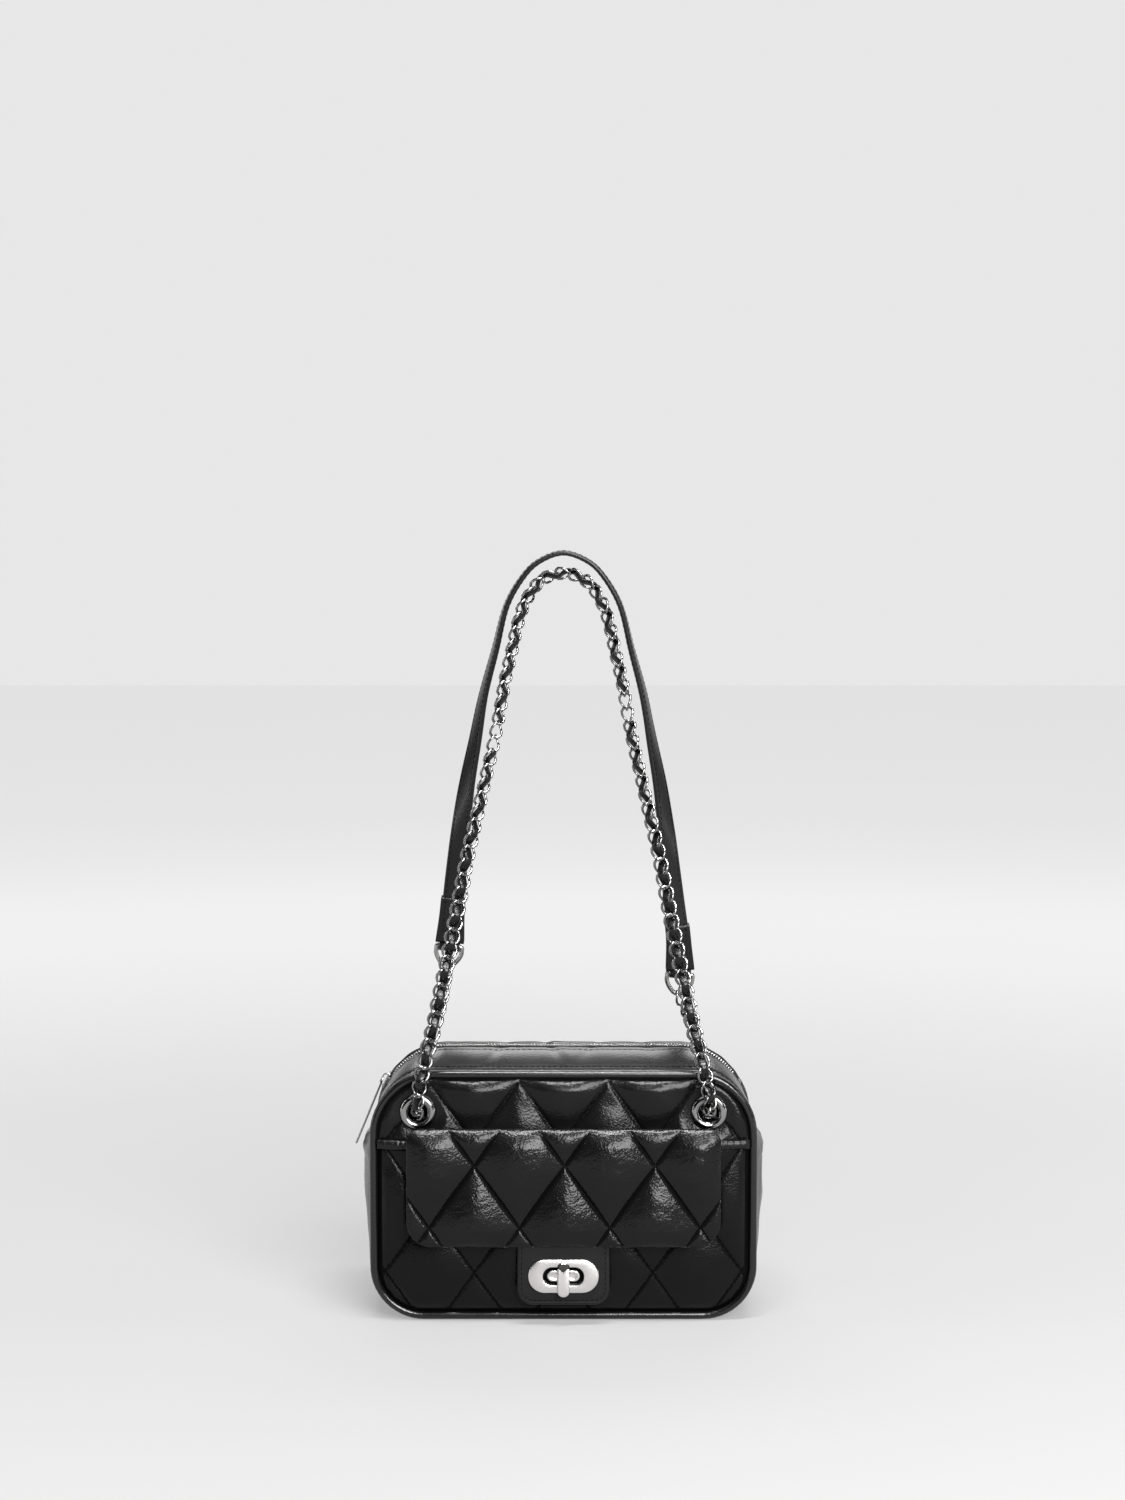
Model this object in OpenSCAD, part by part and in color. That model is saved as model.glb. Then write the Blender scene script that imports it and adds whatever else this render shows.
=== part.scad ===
// Chain shoulder bag. Up is +Z, the front faces -Y and the bag stands on z = 0. Millimetres.

/* [Body] */
// Width of the bag over its piping
bag_w = 200; // [190:1:210]
// Height of the front and back panels over their piping
panel_h = 130.8; // [126:0.1:136]
// Depth of the bag from the face of one panel to the other
bag_depth = 60; // [56:1:66]
// Corner radius of the panels at the top
corner_top = 34; // [30:1:36]
// Corner radius of the panels at the bottom
corner_bottom = 28; // [24:1:32]
// Height that the zip line stands above the panels
crest_rise = 8.2; // [6:0.1:10]
// How far the zip line stays inside the sides of the bag
crest_side = 3.5; // [3:0.1:5]
// How far the lower sides bulge at mid depth
side_bulge = 5.3; // [3:0.1:6.5]
// Drop from the start of the top corners to the seam between the gussets
seam_drop = 0.8; // [0.6:0.1:2]
// Thickness of the gusset leather with its backing
gusset_t = 1.6; // [1.2:0.1:2]
// Thickness of the leather of the panels
leather_t = 1.2; // [1:0.1:1.3]
// Thickness of the wadding behind each panel
wadding_t = 1.0; // [0.8:0.1:1]
// Radius of the piping round each panel
piping_r = 2.1; // [1.8:0.1:2.3]
// Thickness of the lining cloth
lining_t = 0.8; // [0.6:0.1:1]

/* [Slip pocket] */
// Distance of the pocket's bound edge below the eyelets
binding_drop = 6.9; // [5.5:0.1:9]
// How far the pocket stands off the panel at its mouth
pocket_crown = 4.9; // [4.6:0.1:5.2]
// Thickness of the pocket's padded front
pocket_t = 1.5; // [1.2:0.1:1.7]
// Height of the binding along the pocket's mouth
binding_h = 2.8; // [2:0.1:3]

/* [Flap] */
// Width of the flap
flap_w = 161; // [150:1:164]
// Thickness of the padded flap
flap_t = 7.6; // [7:0.1:8]
// Distance of the flap's top edge below the eyelets' centres
flap_drop = 6.6; // [6:0.1:7.5]
// Height of the flap's bottom edge
flap_bottom = 41.7; // [40:0.1:46]
// Corner radius at the flap's bottom
flap_corner = 14; // [10:1:18]
// Width of the tongue below the flap
tongue_w = 47.4; // [44:0.2:50]
// How far the tongue hangs below the flap
tongue_len = 30.4; // [28:0.2:33]

/* [Lock] */
// Length of the lock's oval plate
plate_w = 37; // [34:0.5:40]
// Height of the lock's oval plate
plate_h = 18.3; // [16:0.1:20]
// Length of the slot in the plate
slot_w = 20.7; // [20:0.1:22]
// Height of the slot in the plate
slot_h = 9.1; // [8.6:0.1:10]
// Distance of the lock's centre below the flap's edge
lock_drop = 15.2; // [14:0.1:17]
// Length of the turning bar
bar_len = 19; // [17:0.5:19]
// Width of the turning bar
bar_w = 6.3; // [5:0.1:6.6]

/* [Eyelets] */
// Distance of each eyelet's centre from the side of the bag
eyelet_side = 25; // [24:0.5:28]
// Distance of the eyelets' centres below the top of the panels
eyelet_down = 21.5; // [20.8:0.1:23]
// Width of the eyelets' rings
eyelet_rim = 4.7; // [4:0.1:5.2]
// Room between a link and the opening of an eyelet
chain_room = 0.8; // [0.7:0.05:1]

/* [Chain] */
// Diameter of the chain's wire
wire_d = 1.4; // [1.2:0.1:1.5]
// Outer width of a link
link_w = 8; // [7.6:0.1:8.2]
// Outer length of a link
link_len = 10.25; // [10.2:0.05:10.6]
// Play of each link on the next
link_play = 0.2; // [0.15:0.05:0.4]
// Distance of the front chain's top below the top of the strap
chain_drop = 10.2; // [9:0.1:12]
// Side of the lace woven through the chain
lace_side = 1.1; // [0.8:0.1:1.2]

/* [Strap] */
// Height from the eyelets to the top of the shoulder strap
strap_rise = 287.7; // [260:0.1:310]
// Width of the shoulder strap
strap_w = 11.4; // [10:0.1:12]
// Thickness of the shoulder strap
strap_t = 2.8; // [2:0.1:3]
// Radius of the wire of the strap's rings
ring_r = 1.25; // [1:0.05:1.4]
// Length of the tabs that hold the rings
tab_len = 27; // [22:1:30]

/* [Zip] */
// Distance from one tooth of the zip to the next
tooth_pitch = 4; // [3.5:0.5:5]
// Length of the pull
pull_len = 38; // [32:1:40]

/* [Hidden] */

// Roundness of the curved pieces
$fn = 32;
// Gap between soft pieces that lie against each other
soft_gap = 0.1;
// Gap between pieces that move past each other
move_gap = 0.3;
// Running clearance of a shaft in its hole
run_gap = 0.05;

// Eyelets, and the places that are measured from them
eyelet_x = bag_w / 2 - eyelet_side;
eyelet_z = panel_h - eyelet_down;
eyelet_id = link_w + 2 * chain_room;
eyelet_od = eyelet_id + 2 * eyelet_rim;
pocket_top = eyelet_z - eyelet_od / 2 - binding_drop - binding_h - soft_gap;
flap_top = eyelet_z - flap_drop;
tongue_bottom = flap_bottom - tongue_len;
lock_z = flap_bottom - lock_drop;

// Height of the piping's lowest line over the surface
piping_lift = 0.3;
// Plane of each panel's face
face_y = bag_depth / 2;
// Inset of the panels inside the piping
panel_inset = 2 * piping_r + soft_gap;
// Back of the panel's leather and of its wadding
leather_back = face_y - leather_t;
wadding_back = leather_back - soft_gap - wadding_t;
// The piping's flange, sewn in between the panel and the gusset
flange_t = 0.6;
flange_w = 9;
flange_front = wadding_back - soft_gap;
flange_back = flange_front - flange_t;
// Depth of the gusset on each side of the middle
gusset_y = flange_back - move_gap;
gusset_inset = 0.6;
// Plane of the piping's centre, a little behind the panel's face
piping_seat = 0.15;
piping_y = gusset_y + piping_seat + piping_r;
// Half of the gap between the two zip gussets, and the tape's and teeth's places in it
zip_gap = 4;
tape_edge = 2.75;
tape_out = 11;
tape_t = 0.5;
tooth_in = 0.55;
tooth_out = tape_edge - soft_gap;
tooth_len = 1.9;
tooth_low = 2.3;
tooth_high = 0.1;
// Outline of the gusset's edges, and the seam across it at each side
edge_x = bag_w / 2 - gusset_inset;
edge_top = panel_h - gusset_inset;
edge_rt = corner_top - gusset_inset;
edge_rb = corner_bottom - gusset_inset;
seam_z = edge_top - edge_rt - seam_drop;
seam_pinch = 1.4;
// Line of the zip at mid depth: level on top, then round to just above the seam
seam_reach = 6.5;
crest_z = panel_h + crest_rise;
crest_r = crest_z - seam_z - seam_reach;
crest_x = bag_w / 2 - crest_r - crest_side;
crest_cz = crest_z - crest_r;

// Points of the outlines and sheets

function flat(list) = [for (row = list) for (item = row) item];
function unit(v) = v / norm(v);

// Faces of a closed sheet that has an outer and an inner grid of n by m points
function grid_faces(n, m, base, turn) = flat([for (i = [0:n - 2]) for (j = [0:m - 2])
    let (a = base + i * m + j, b = a + 1, c = a + m + 1, d = a + m)
    turn ? [[a, b, c], [a, c, d]] : [[a, c, b], [a, d, c]]]);
function sheet_faces(n, m) = let (k = n * m) concat(
    grid_faces(n, m, 0, true),
    grid_faces(n, m, k, false),
    flat([for (i = [0:n - 2]) let (a = i * m, b = a + m) [[a, b, k + b], [a, k + b, k + a]]]),
    flat([for (i = [0:n - 2]) let (a = i * m + m - 1, b = a + m) [[a, k + b, b], [a, k + a, k + b]]]),
    flat([for (j = [0:m - 2]) [[j, k + j + 1, j + 1], [j, k + j, k + j + 1]]]),
    flat([for (j = [0:m - 2]) let (a = k - m + j) [[a, a + 1, k + a + 1], [a, k + a + 1, k + a]]]));
module sheet(outer, inner) {
    polyhedron(concat(flat(outer), flat(inner)), sheet_faces(len(outer), len(outer[0])), convexity = 6);
}

// A station along the gusset: edge point, mid-depth point and outward direction
corner_turns = [for (k = [0:12]) 90 - k * 7.5];
left_arc = [for (a = corner_turns) [
    -edge_x + edge_rt - edge_rt * sin(a), edge_top - edge_rt + edge_rt * cos(a),
    -crest_x - crest_r * sin(a), crest_cz + crest_r * cos(a), -sin(a), cos(a)]];
function mirror_stations(list) = [for (i = [len(list) - 1:-1:0])
    [-list[i][0], list[i][1], -list[i][2], list[i][3], -list[i][4], list[i][5]]];
top_middle = [[0, edge_top, 0, crest_z, 0, 1]];
zip_left = concat([[-edge_x, seam_z + move_gap, -edge_x + seam_pinch, seam_z + move_gap, -1, 0]], left_arc);
zip_stations = concat(zip_left, top_middle, mirror_stations(zip_left));

// Share of the side bulge at each share of the way down the side
bulge_shares = [[0, 0.16], [0.05, 0.62], [0.11, 0.93], [0.17, 1], [0.5, 0.95], [0.8, 0.6], [1, 0.4]];
side_shares = [0, 0.05, 0.11, 0.17, 0.3, 0.5, 0.65, 0.8, 1];
corner_shares = [0.125, 0.25, 0.375, 0.5, 0.625, 0.75, 0.875, 1];
side_run = seam_z - edge_rb;
lower_left = concat(
    [for (q = side_shares) let (z = seam_z - q * side_run)
        [-edge_x, z, -edge_x - side_bulge * lookup(q, bulge_shares), z, -1, 0]],
    [for (q = corner_shares) let (a = 90 * q, b = side_bulge * 0.4 * pow(1 - q, 1.5),
            cx = -edge_x + edge_rb, ux = -cos(a), uz = -sin(a))
        [cx + edge_rb * ux, edge_rb + edge_rb * uz, cx + (edge_rb + b) * ux, edge_rb + (edge_rb + b) * uz,
            ux, uz]]);
lower_stations = concat(lower_left, mirror_stations(lower_left));

// Point of the gusset at a station, at depth y and a distance below the surface
function skin_point(s, y, below) = let (f = 1 - pow(y / gusset_y, 2)) [
    s[0] + (s[2] - s[0]) * f - s[4] * below, y, s[1] + (s[3] - s[1]) * f - s[5] * below];
module gusset_sheet(stations, depths, high, low) {
    sheet([for (s = stations) [for (y = depths) skin_point(s, y, high)]],
        [for (s = stations) [for (y = depths) skin_point(s, y, low)]]);
}

// Outline of a panel, inset from the piping's outer line
module outline(inset) {
    hw = bag_w / 2 - inset;
    zt = panel_h - inset;
    zb = piping_lift + inset;
    rt = corner_top - inset;
    rb = corner_bottom - inset;
    union() {
        for (side = [-1, 1]) {
            translate([side * (hw - rt), zt - rt]) circle(rt);
            translate([side * (hw - rb), zb + rb]) circle(rb);
        }
        translate([-hw, zb + rb]) square([2 * hw, zt - rt - zb - rb]);
        translate([rt - hw, zb + rb]) square([2 * (hw - rt), zt - zb - rb]);
        translate([rb - hw, zb]) square([2 * (hw - rb), zt - rt - zb]);
    }
}
// A flat shape drawn in X and Z, as thick as the stretch from y0 to y1
module along_y(y0, y1) {
    translate([0, y1, 0]) rotate([90, 0, 0]) linear_extrude(y1 - y0) children();
}
// A flat oval with round ends, its length along X
module oval(length, height) {
    union() {
        for (side = [-1, 1]) translate([side * (length - height) / 2, 0]) circle(height / 2);
        square([length - height, height], center = true);
    }
}
// Turns a piece built for the front so that it faces the rear
module to_rear() {
    mirror([0, 1, 0]) children();
}

// Front and back panels

barrel_room = 1;
eyelet_hole = eyelet_id / 2 + barrel_room;
barrel_r = eyelet_hole - soft_gap;
module eyelet_holes(y0, y1) {
    for (side = [-1, 1]) translate([side * eyelet_x, 0, eyelet_z]) along_y(y0, y1) circle(eyelet_hole);
}
module front_panel() {
    color("#202022") difference() {
        along_y(-face_y, -leather_back) outline(panel_inset);
        eyelet_holes(-face_y - leather_t, -leather_back + leather_t);
    }
}
module front_wadding() {
    color("#b8b4aa") difference() {
        along_y(soft_gap - leather_back, -wadding_back) outline(panel_inset);
        eyelet_holes(-face_y, -flange_back);
    }
}
module back_panel() {
    color("#202022") to_rear() front_panel();
}
module back_wadding() {
    color("#b8b4aa") to_rear() front_wadding();
}

// Piping: a covered cord with a flange that is sewn into the seam

module piping_cord() {
    hw = bag_w / 2 - piping_r;
    zt = panel_h - piping_r;
    zb = piping_lift + piping_r;
    rt = corner_top - piping_r;
    rb = corner_bottom - piping_r;
    spots = [[hw - rt, zt - rt, rt], [rt - hw, zt - rt, rt], [rb - hw, zb + rb, rb], [hw - rb, zb + rb, rb]];
    union() {
        for (k = [0:3]) translate([spots[k][0], 0, spots[k][1]]) rotate([90, 0, 0])
            rotate([0, 0, 90 * k]) rotate_extrude(angle = 90) translate([spots[k][2], 0]) circle(piping_r);
        translate([rt - hw, 0, zt]) rotate([0, 90, 0]) cylinder(h = 2 * (hw - rt), r = piping_r);
        translate([rb - hw, 0, zb]) rotate([0, 90, 0]) cylinder(h = 2 * (hw - rb), r = piping_r);
        for (side = [-1, 1]) translate([side * hw, 0, zb + rb]) cylinder(h = zt - rt - zb - rb, r = piping_r);
    }
}
module front_piping() {
    color("#18181a") union() {
        translate([0, -piping_y, 0]) piping_cord();
        along_y(-flange_front, -flange_back) difference() {
            outline(piping_r);
            outline(flange_w);
        }
    }
}
module rear_piping() {
    color("#18181a") to_rear() front_piping();
}

// Gussets round the sides: one strip below the seam, two above it with the zip between them

depth_shares = [-1, -0.8, -0.55, -0.28, 0, 0.28, 0.55, 0.8, 1];
module lower_gusset() {
    color("#242426") gusset_sheet(lower_stations, [for (q = depth_shares) q * gusset_y], gusset_t, 0);
}
zip_depth_shares = [0, 0.2, 0.42, 0.65, 0.84, 1];
module zip_gusset_front() {
    color("#242426") gusset_sheet(zip_stations,
        [for (q = zip_depth_shares) -gusset_y + q * (gusset_y - zip_gap)], 0, gusset_t);
}
module zip_gusset_rear() {
    color("#242426") gusset_sheet(zip_stations,
        [for (q = zip_depth_shares) zip_gap + q * (gusset_y - zip_gap)], 0, gusset_t);
}

// Lining: a cloth box inside the shell, open along the zip, and the stiff board on its floor

lining_room = 0.3;
lining_inset = panel_inset + gusset_t + lining_room;
lining_y = flange_back - 2 * move_gap;
slot_half_x = crest_x;
barrel_end = lining_y - lining_t - soft_gap;
module lining() {
    color("#3a3a3e") difference() {
        along_y(-lining_y, lining_y) outline(lining_inset);
        along_y(lining_t - lining_y, lining_y - lining_t) outline(lining_inset + lining_t);
        translate([-slot_half_x, -zip_gap, panel_h / 2])
            cube([2 * slot_half_x, 2 * zip_gap, panel_h / 2]);
        eyelet_holes(-face_y, face_y);
    }
}
board_t = 1.6;
board_end = 2;
board_side = 1.6;
board_w = bag_w - 2 * (corner_bottom + board_end);
board_d = 2 * (lining_y - lining_t - board_side);
module base_board() {
    color("#8a7a5c") translate([-board_w / 2, -board_d / 2, piping_lift + lining_inset + lining_t + soft_gap])
        cube([board_w, board_d, board_t]);
}

// Zip: two tapes, two rows of teeth, end stops, slider and pull

module zip_tape(side) {
    depths = side < 0 ? [-tape_out, -(tape_out + tape_edge) / 2, -tape_edge]
        : [tape_edge, (tape_out + tape_edge) / 2, tape_out];
    color("#101012") gusset_sheet(zip_stations, depths, gusset_t + soft_gap, gusset_t + soft_gap + tape_t);
}
module zip_tape_front() {
    zip_tape(-1);
}
module zip_tape_rear() {
    zip_tape(1);
}
// Place on the zip line a given angle round the left corner, counted from the top
module on_left_arc(angle) {
    translate([-crest_x, 0, crest_cz]) rotate([0, -angle, 0]) translate([0, 0, crest_r]) children();
}
module on_right_arc(angle) {
    mirror([1, 0, 0]) on_left_arc(angle) children();
}
slider_angle = 62;
last_angle = 54;
turn_step = tooth_pitch / crest_r * 180 / PI;
arc_teeth = floor(last_angle / turn_step);
top_teeth = floor(crest_x * 2 / tooth_pitch);
top_step = crest_x * 2 / top_teeth;
module tooth() {
    translate([-tooth_len / 2, tooth_in, -tooth_low])
        cube([tooth_len, tooth_out - tooth_in, tooth_low + tooth_high]);
}
module teeth_row() {
    for (k = [1:arc_teeth]) on_left_arc(k * turn_step) tooth();
    for (k = [1:arc_teeth]) on_right_arc(k * turn_step) tooth();
    for (k = [0:top_teeth]) translate([k * top_step - crest_x, 0, crest_z]) tooth();
}
module zip_teeth_front() {
    color("#c9c9cc") to_rear() teeth_row();
}
module zip_teeth_rear() {
    color("#c9c9cc") teeth_row();
}
stop_len = 2.6;
stop_w = 1.6;
stop_high = 0.5;
slider_len = 9;
stop_angle = slider_angle + (slider_len / 2 + stop_len) / crest_r * 180 / PI;
module zip_stops() {
    color("#c9c9cc") {
        for (side = [-1, 1]) on_left_arc(stop_angle)
            translate([-stop_len / 2, side < 0 ? -tooth_out : tooth_out - stop_w, -tooth_low])
            cube([stop_len, stop_w, tooth_low + stop_high]);
        on_right_arc(slider_angle) translate([-stop_len / 2, -tooth_out, -tooth_low])
            cube([stop_len, 2 * tooth_out, tooth_low + stop_high]);
    }
}
slider_w = 7.5;
slider_top_low = 0.4;
slider_top_high = 1.6;
slider_bottom_high = 2.9;
slider_bottom_low = 3.8;
neck_w = 0.7;
neck_len = 3.6;
bridge_w = 1.6;
bridge_len = 7;
bridge_t = 0.8;
pull_axis = 2.85;
pull_bar_r = 0.55;
bridge_high = pull_axis + pull_bar_r + move_gap;
module zip_slider() {
    color("#c9c9cc") on_left_arc(slider_angle) union() {
        translate([-slider_len / 2, -slider_w / 2, slider_top_low])
            cube([slider_len, slider_w, slider_top_high - slider_top_low]);
        translate([-slider_len / 2, -slider_w / 2, -slider_bottom_low])
            cube([slider_len, slider_w, slider_bottom_low - slider_bottom_high]);
        translate([-neck_len / 2, -neck_w / 2, -slider_bottom_low])
            cube([neck_len, neck_w, slider_bottom_low + slider_top_high]);
        difference() {
            translate([-bridge_len / 2, -bridge_w / 2, slider_top_low])
                cube([bridge_len, bridge_w, bridge_high + bridge_t - slider_top_low]);
            translate([bridge_t - bridge_len / 2, -bridge_w, slider_top_high])
                cube([bridge_len - 2 * bridge_t, 2 * bridge_w, bridge_high - slider_top_high]);
        }
    }
}
pull_lean = 22.5;
pull_arm = 6;
pull_w = 3.8;
pull_t = 1.1;
pull_point = [-crest_x - (crest_r + pull_axis) * sin(slider_angle), 0,
    crest_cz + (crest_r + pull_axis) * cos(slider_angle)];
arm_w = (pull_w - bridge_w) / 2 - move_gap / 2;
module zip_pull() {
    color("#d2d2d4") translate(pull_point) rotate([0, pull_lean, 0]) union() {
        translate([0, pull_w / 2, 0]) rotate([90, 0, 0]) cylinder(h = pull_w, r = pull_bar_r);
        for (side = [0, 1]) translate([-pull_t / 2, side ? pull_w / 2 - arm_w : -pull_w / 2, -pull_arm])
            cube([pull_t, arm_w, pull_arm]);
        difference() {
            translate([-pull_t / 2, -pull_w / 2, -pull_len])
                cube([pull_t, pull_w, pull_len - pull_arm + pull_t]);
            translate([-pull_t, -arm_w / 2, arm_w - pull_len])
                cube([2 * pull_t, arm_w, pull_len - pull_arm - 2 * arm_w]);
        }
    }
}

// Eyelets: a rounded ring on the panel with a barrel through it, and a washer inside

eyelet_sec = (eyelet_od - eyelet_id) / 4;
eyelet_mid = (eyelet_od + eyelet_id) / 4;
module eyelet() {
    rotate([90, 0, 0]) translate([0, 0, face_y + soft_gap]) rotate_extrude() union() {
        intersection() {
            translate([eyelet_mid, 0]) circle(eyelet_sec);
            translate([0, 0]) square([eyelet_od, eyelet_sec]);
        }
        translate([eyelet_id / 2, barrel_end - face_y])
            square([barrel_r - eyelet_id / 2, face_y - barrel_end + eyelet_sec / 2]);
    }
}
module eyelet_front_left() {
    color("#d0d0d2") translate([-eyelet_x, 0, eyelet_z]) eyelet();
}
module eyelet_front_right() {
    color("#d0d0d2") translate([eyelet_x, 0, eyelet_z]) eyelet();
}
module eyelet_rear_left() {
    color("#d0d0d2") to_rear() translate([-eyelet_x, 0, eyelet_z]) eyelet();
}
module eyelet_rear_right() {
    color("#d0d0d2") to_rear() translate([eyelet_x, 0, eyelet_z]) eyelet();
}
washer_r = 8.3;
washer_t = 0.7;
module washer_pair() {
    for (side = [-1, 1]) translate([side * eyelet_x, 0, eyelet_z])
        along_y(soft_gap - wadding_back, soft_gap + washer_t - wadding_back) difference() {
            circle(washer_r);
            circle(eyelet_hole);
        }
}
module eyelet_washers() {
    color("#a8a8aa") {
        washer_pair();
        to_rear() washer_pair();
    }
}

// Slip pocket: a padded front that stands off the panel at its mouth, with a lining and a binding

pocket_w = bag_w / 2 - panel_inset;
pocket_bottom = piping_lift + panel_inset;
pocket_rb = corner_bottom - panel_inset;
pocket_tall = pocket_top - pocket_bottom;
across = [-1, -0.95, -0.86, -0.72, -0.5, -0.25, 0, 0.25, 0.5, 0.72, 0.86, 0.95, 1];
down_shares = [0, 0.07, 0.16, 0.27, 0.4, 0.55, 0.7, 0.85, 1];
function pocket_half(z) = z - pocket_bottom >= pocket_rb ? pocket_w
    : pocket_w - pocket_rb + sqrt(max(0, pow(pocket_rb, 2) - pow(pocket_rb - (z - pocket_bottom), 2)));
function crown_at(a, z) = pocket_crown * (1 - pow(abs(a), 4))
    * (1 - pow(min(1, (pocket_top - min(z, pocket_top)) / pocket_tall), 4));
pocket_foot = 0.2;
inner_t = 0.6;
function pocket_point(a, z, stand) = [a * pocket_half(z), -face_y - pocket_foot - stand - crown_at(a, z), z];
module pocket_sheet(back, front, z0, z1) {
    heights = [for (q = down_shares) z1 - (1 - q) * (z1 - z0)];
    sheet([for (z = heights) [for (a = across) pocket_point(a, z, back)]],
        [for (z = heights) [for (a = across) pocket_point(a, z, front)]]);
}
pocket_mid = inner_t + soft_gap;
pocket_front = pocket_mid + pocket_t;
stem_r = 2;
stem_hole = stem_r + soft_gap;
module slip_pocket() {
    color("#202022") difference() {
        pocket_sheet(pocket_mid, pocket_front, pocket_bottom, pocket_top);
        translate([0, 0, lock_z]) along_y(-2 * face_y, 0) circle(stem_hole);
    }
}
module pocket_lining() {
    color("#3a3a3e") difference() {
        pocket_sheet(0, inner_t, pocket_bottom, pocket_top);
        translate([0, 0, lock_z]) along_y(-2 * face_y, 0) circle(stem_hole);
    }
}
module pocket_binding() {
    edges = [pocket_top + soft_gap, pocket_top + soft_gap + binding_h];
    color("#18181a") sheet([for (z = edges) [for (a = across) pocket_point(a, z, 0)]],
        [for (z = edges) [for (a = across) pocket_point(a, z, pocket_front + soft_gap)]]);
}

// Flap: a padded leather flap whose rolled top edge turns in a leather strip sewn to the panel

flap_r = flap_t / 2;
flap_gap = 1.5;
flap_back = face_y + pocket_foot + pocket_crown + pocket_front + flap_gap;
hinge_y = flap_back + flap_r;
hinge_z = flap_top - flap_r;
flap_top_corner = 3;
skin_t = 1.2;
lap_inset = 2.4;
lap_top = hinge_z - flap_r;
module flap_section(inset) {
    translate([-hinge_y, hinge_z]) circle(flap_r - inset);
    translate([-hinge_y, flap_bottom + flap_r]) circle(flap_r - inset);
    translate([inset - hinge_y - flap_r, flap_bottom + flap_r])
        square([2 * (flap_r - inset), hinge_z - flap_bottom - flap_r]);
}
module flap_outline(inset) {
    hw = flap_w / 2 - inset;
    zb = flap_bottom + inset;
    zt = flap_top - inset;
    rb = flap_corner - inset;
    union() {
        for (side = [-1, 1]) translate([side * (hw - rb), zb + rb]) circle(rb);
        translate([-hw, zb + rb]) square([2 * hw, zt - zb - rb]);
        translate([rb - hw, zb]) square([2 * (hw - rb), rb]);
    }
}
// A shape drawn in Y and Z, run across the bag
module along_x(width) {
    translate([-width / 2, 0, 0]) rotate([90, 0, 90]) linear_extrude(width) children();
}
module flap_block(inset) {
    intersection() {
        along_x(flap_w - 2 * inset) union() flap_section(inset);
        along_y(-hinge_y - flap_t, flap_t - hinge_y) flap_outline(inset);
    }
}
tongue_t = 1.8;
lap_t = 0.75;
tongue_back = flap_back + lap_t + 2 * soft_gap;
tongue_front = tongue_back + tongue_t;
tongue_in = 10.3;
tongue_top = flap_bottom + tongue_in;
tongue_corner = 8;
module tongue_notch() {
    translate([-tongue_w / 2 - move_gap, -tongue_front - soft_gap, 0])
        cube([tongue_w + 2 * move_gap, tongue_t + flap_r / 2, tongue_top + move_gap]);
}
module lap_zone(inset) {
    along_y(-tongue_back, flap_t - flap_back) intersection() {
        flap_outline(inset);
        translate([-flap_w, 0]) square([2 * flap_w, lap_top + lap_inset - inset]);
    }
}
module flap_cover() {
    color("#202022") difference() {
        flap_block(0);
        flap_block(skin_t);
        lap_zone(lap_inset);
        tongue_notch();
    }
}
module flap_wadding() {
    color("#b8b4aa") difference() {
        flap_block(skin_t + soft_gap);
        lap_zone(0);
        tongue_notch();
    }
}
module flap_lining() {
    color("#18181a") intersection() {
        along_y(-flap_back - lap_t, -flap_back) flap_outline(lap_inset + soft_gap);
        lap_zone(lap_inset + soft_gap);
    }
}
pin_x = (slot_w + plate_w) / 4;
pin_r = 1.2;
module flap_tongue() {
    color("#202022") difference() {
        along_y(-tongue_front, -tongue_back) union() {
            for (side = [-1, 1])
                translate([side * (tongue_w / 2 - tongue_corner), tongue_bottom + tongue_corner])
                    circle(tongue_corner);
            translate([-tongue_w / 2, tongue_bottom + tongue_corner])
                square([tongue_w, tongue_top - tongue_bottom - tongue_corner]);
            translate([tongue_corner - tongue_w / 2, tongue_bottom])
                square([tongue_w - 2 * tongue_corner, tongue_corner]);
        }
        translate([0, 0, lock_z]) along_y(-2 * face_y, 0) oval(slot_w + 2 * move_gap, slot_h + 2 * move_gap);
        for (side = [-1, 1])
            translate([side * pin_x, 0, lock_z]) along_y(-2 * face_y, 0) circle(pin_r + run_gap);
    }
}
strip_room = 3.5;
strip_half = eyelet_x - eyelet_od / 2 - strip_room;
strip_t = 1.2;
strip_below = 2.1;
strip_low = hinge_z - strip_below;
strip_tall = 9;
web_t = 1.6;
module flap_hinge_strip() {
    color("#18181a") along_x(2 * strip_half) difference() {
        union() {
            translate([-face_y - strip_t - soft_gap, strip_low]) square([strip_t, strip_tall]);
            translate([-hinge_y, hinge_z - web_t / 2]) square([hinge_y - face_y - strip_t, web_t]);
        }
        translate([-hinge_y, hinge_z]) circle(flap_r + move_gap);
    }
}

// Turn lock: slotted plate on the tongue, base on the pocket, and the bar that turns

metal_t = 1.3;
plate_front = tongue_front + soft_gap + metal_t;
back_t = 0.5;
back_rim = 1.5;
module lock_plate() {
    color("#d7cfcb") translate([0, 0, lock_z]) difference() {
        union() {
            along_y(-plate_front, -tongue_front - soft_gap) oval(plate_w, plate_h);
            for (side = [-1, 1])
                translate([side * pin_x, 0, 0])
                    along_y(-plate_front, soft_gap + back_t - tongue_back) circle(pin_r);
        }
        along_y(-2 * face_y, 0) oval(slot_w, slot_h);
    }
}
module lock_plate_back() {
    color("#a8a8aa") translate([0, 0, lock_z])
        along_y(soft_gap - tongue_back, soft_gap + back_t - tongue_back) difference() {
        oval(plate_w - 2 * back_rim, plate_h - 2 * back_rim);
        oval(slot_w + 2 * move_gap, slot_h + 2 * move_gap);
        for (side = [-1, 1]) translate([side * pin_x, 0]) circle(pin_r + run_gap);
    }
}
base_t = 1.1;
base_rim_w = 5.3;
base_rim_h = 2.9;
base_w = slot_w + base_rim_w;
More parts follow.
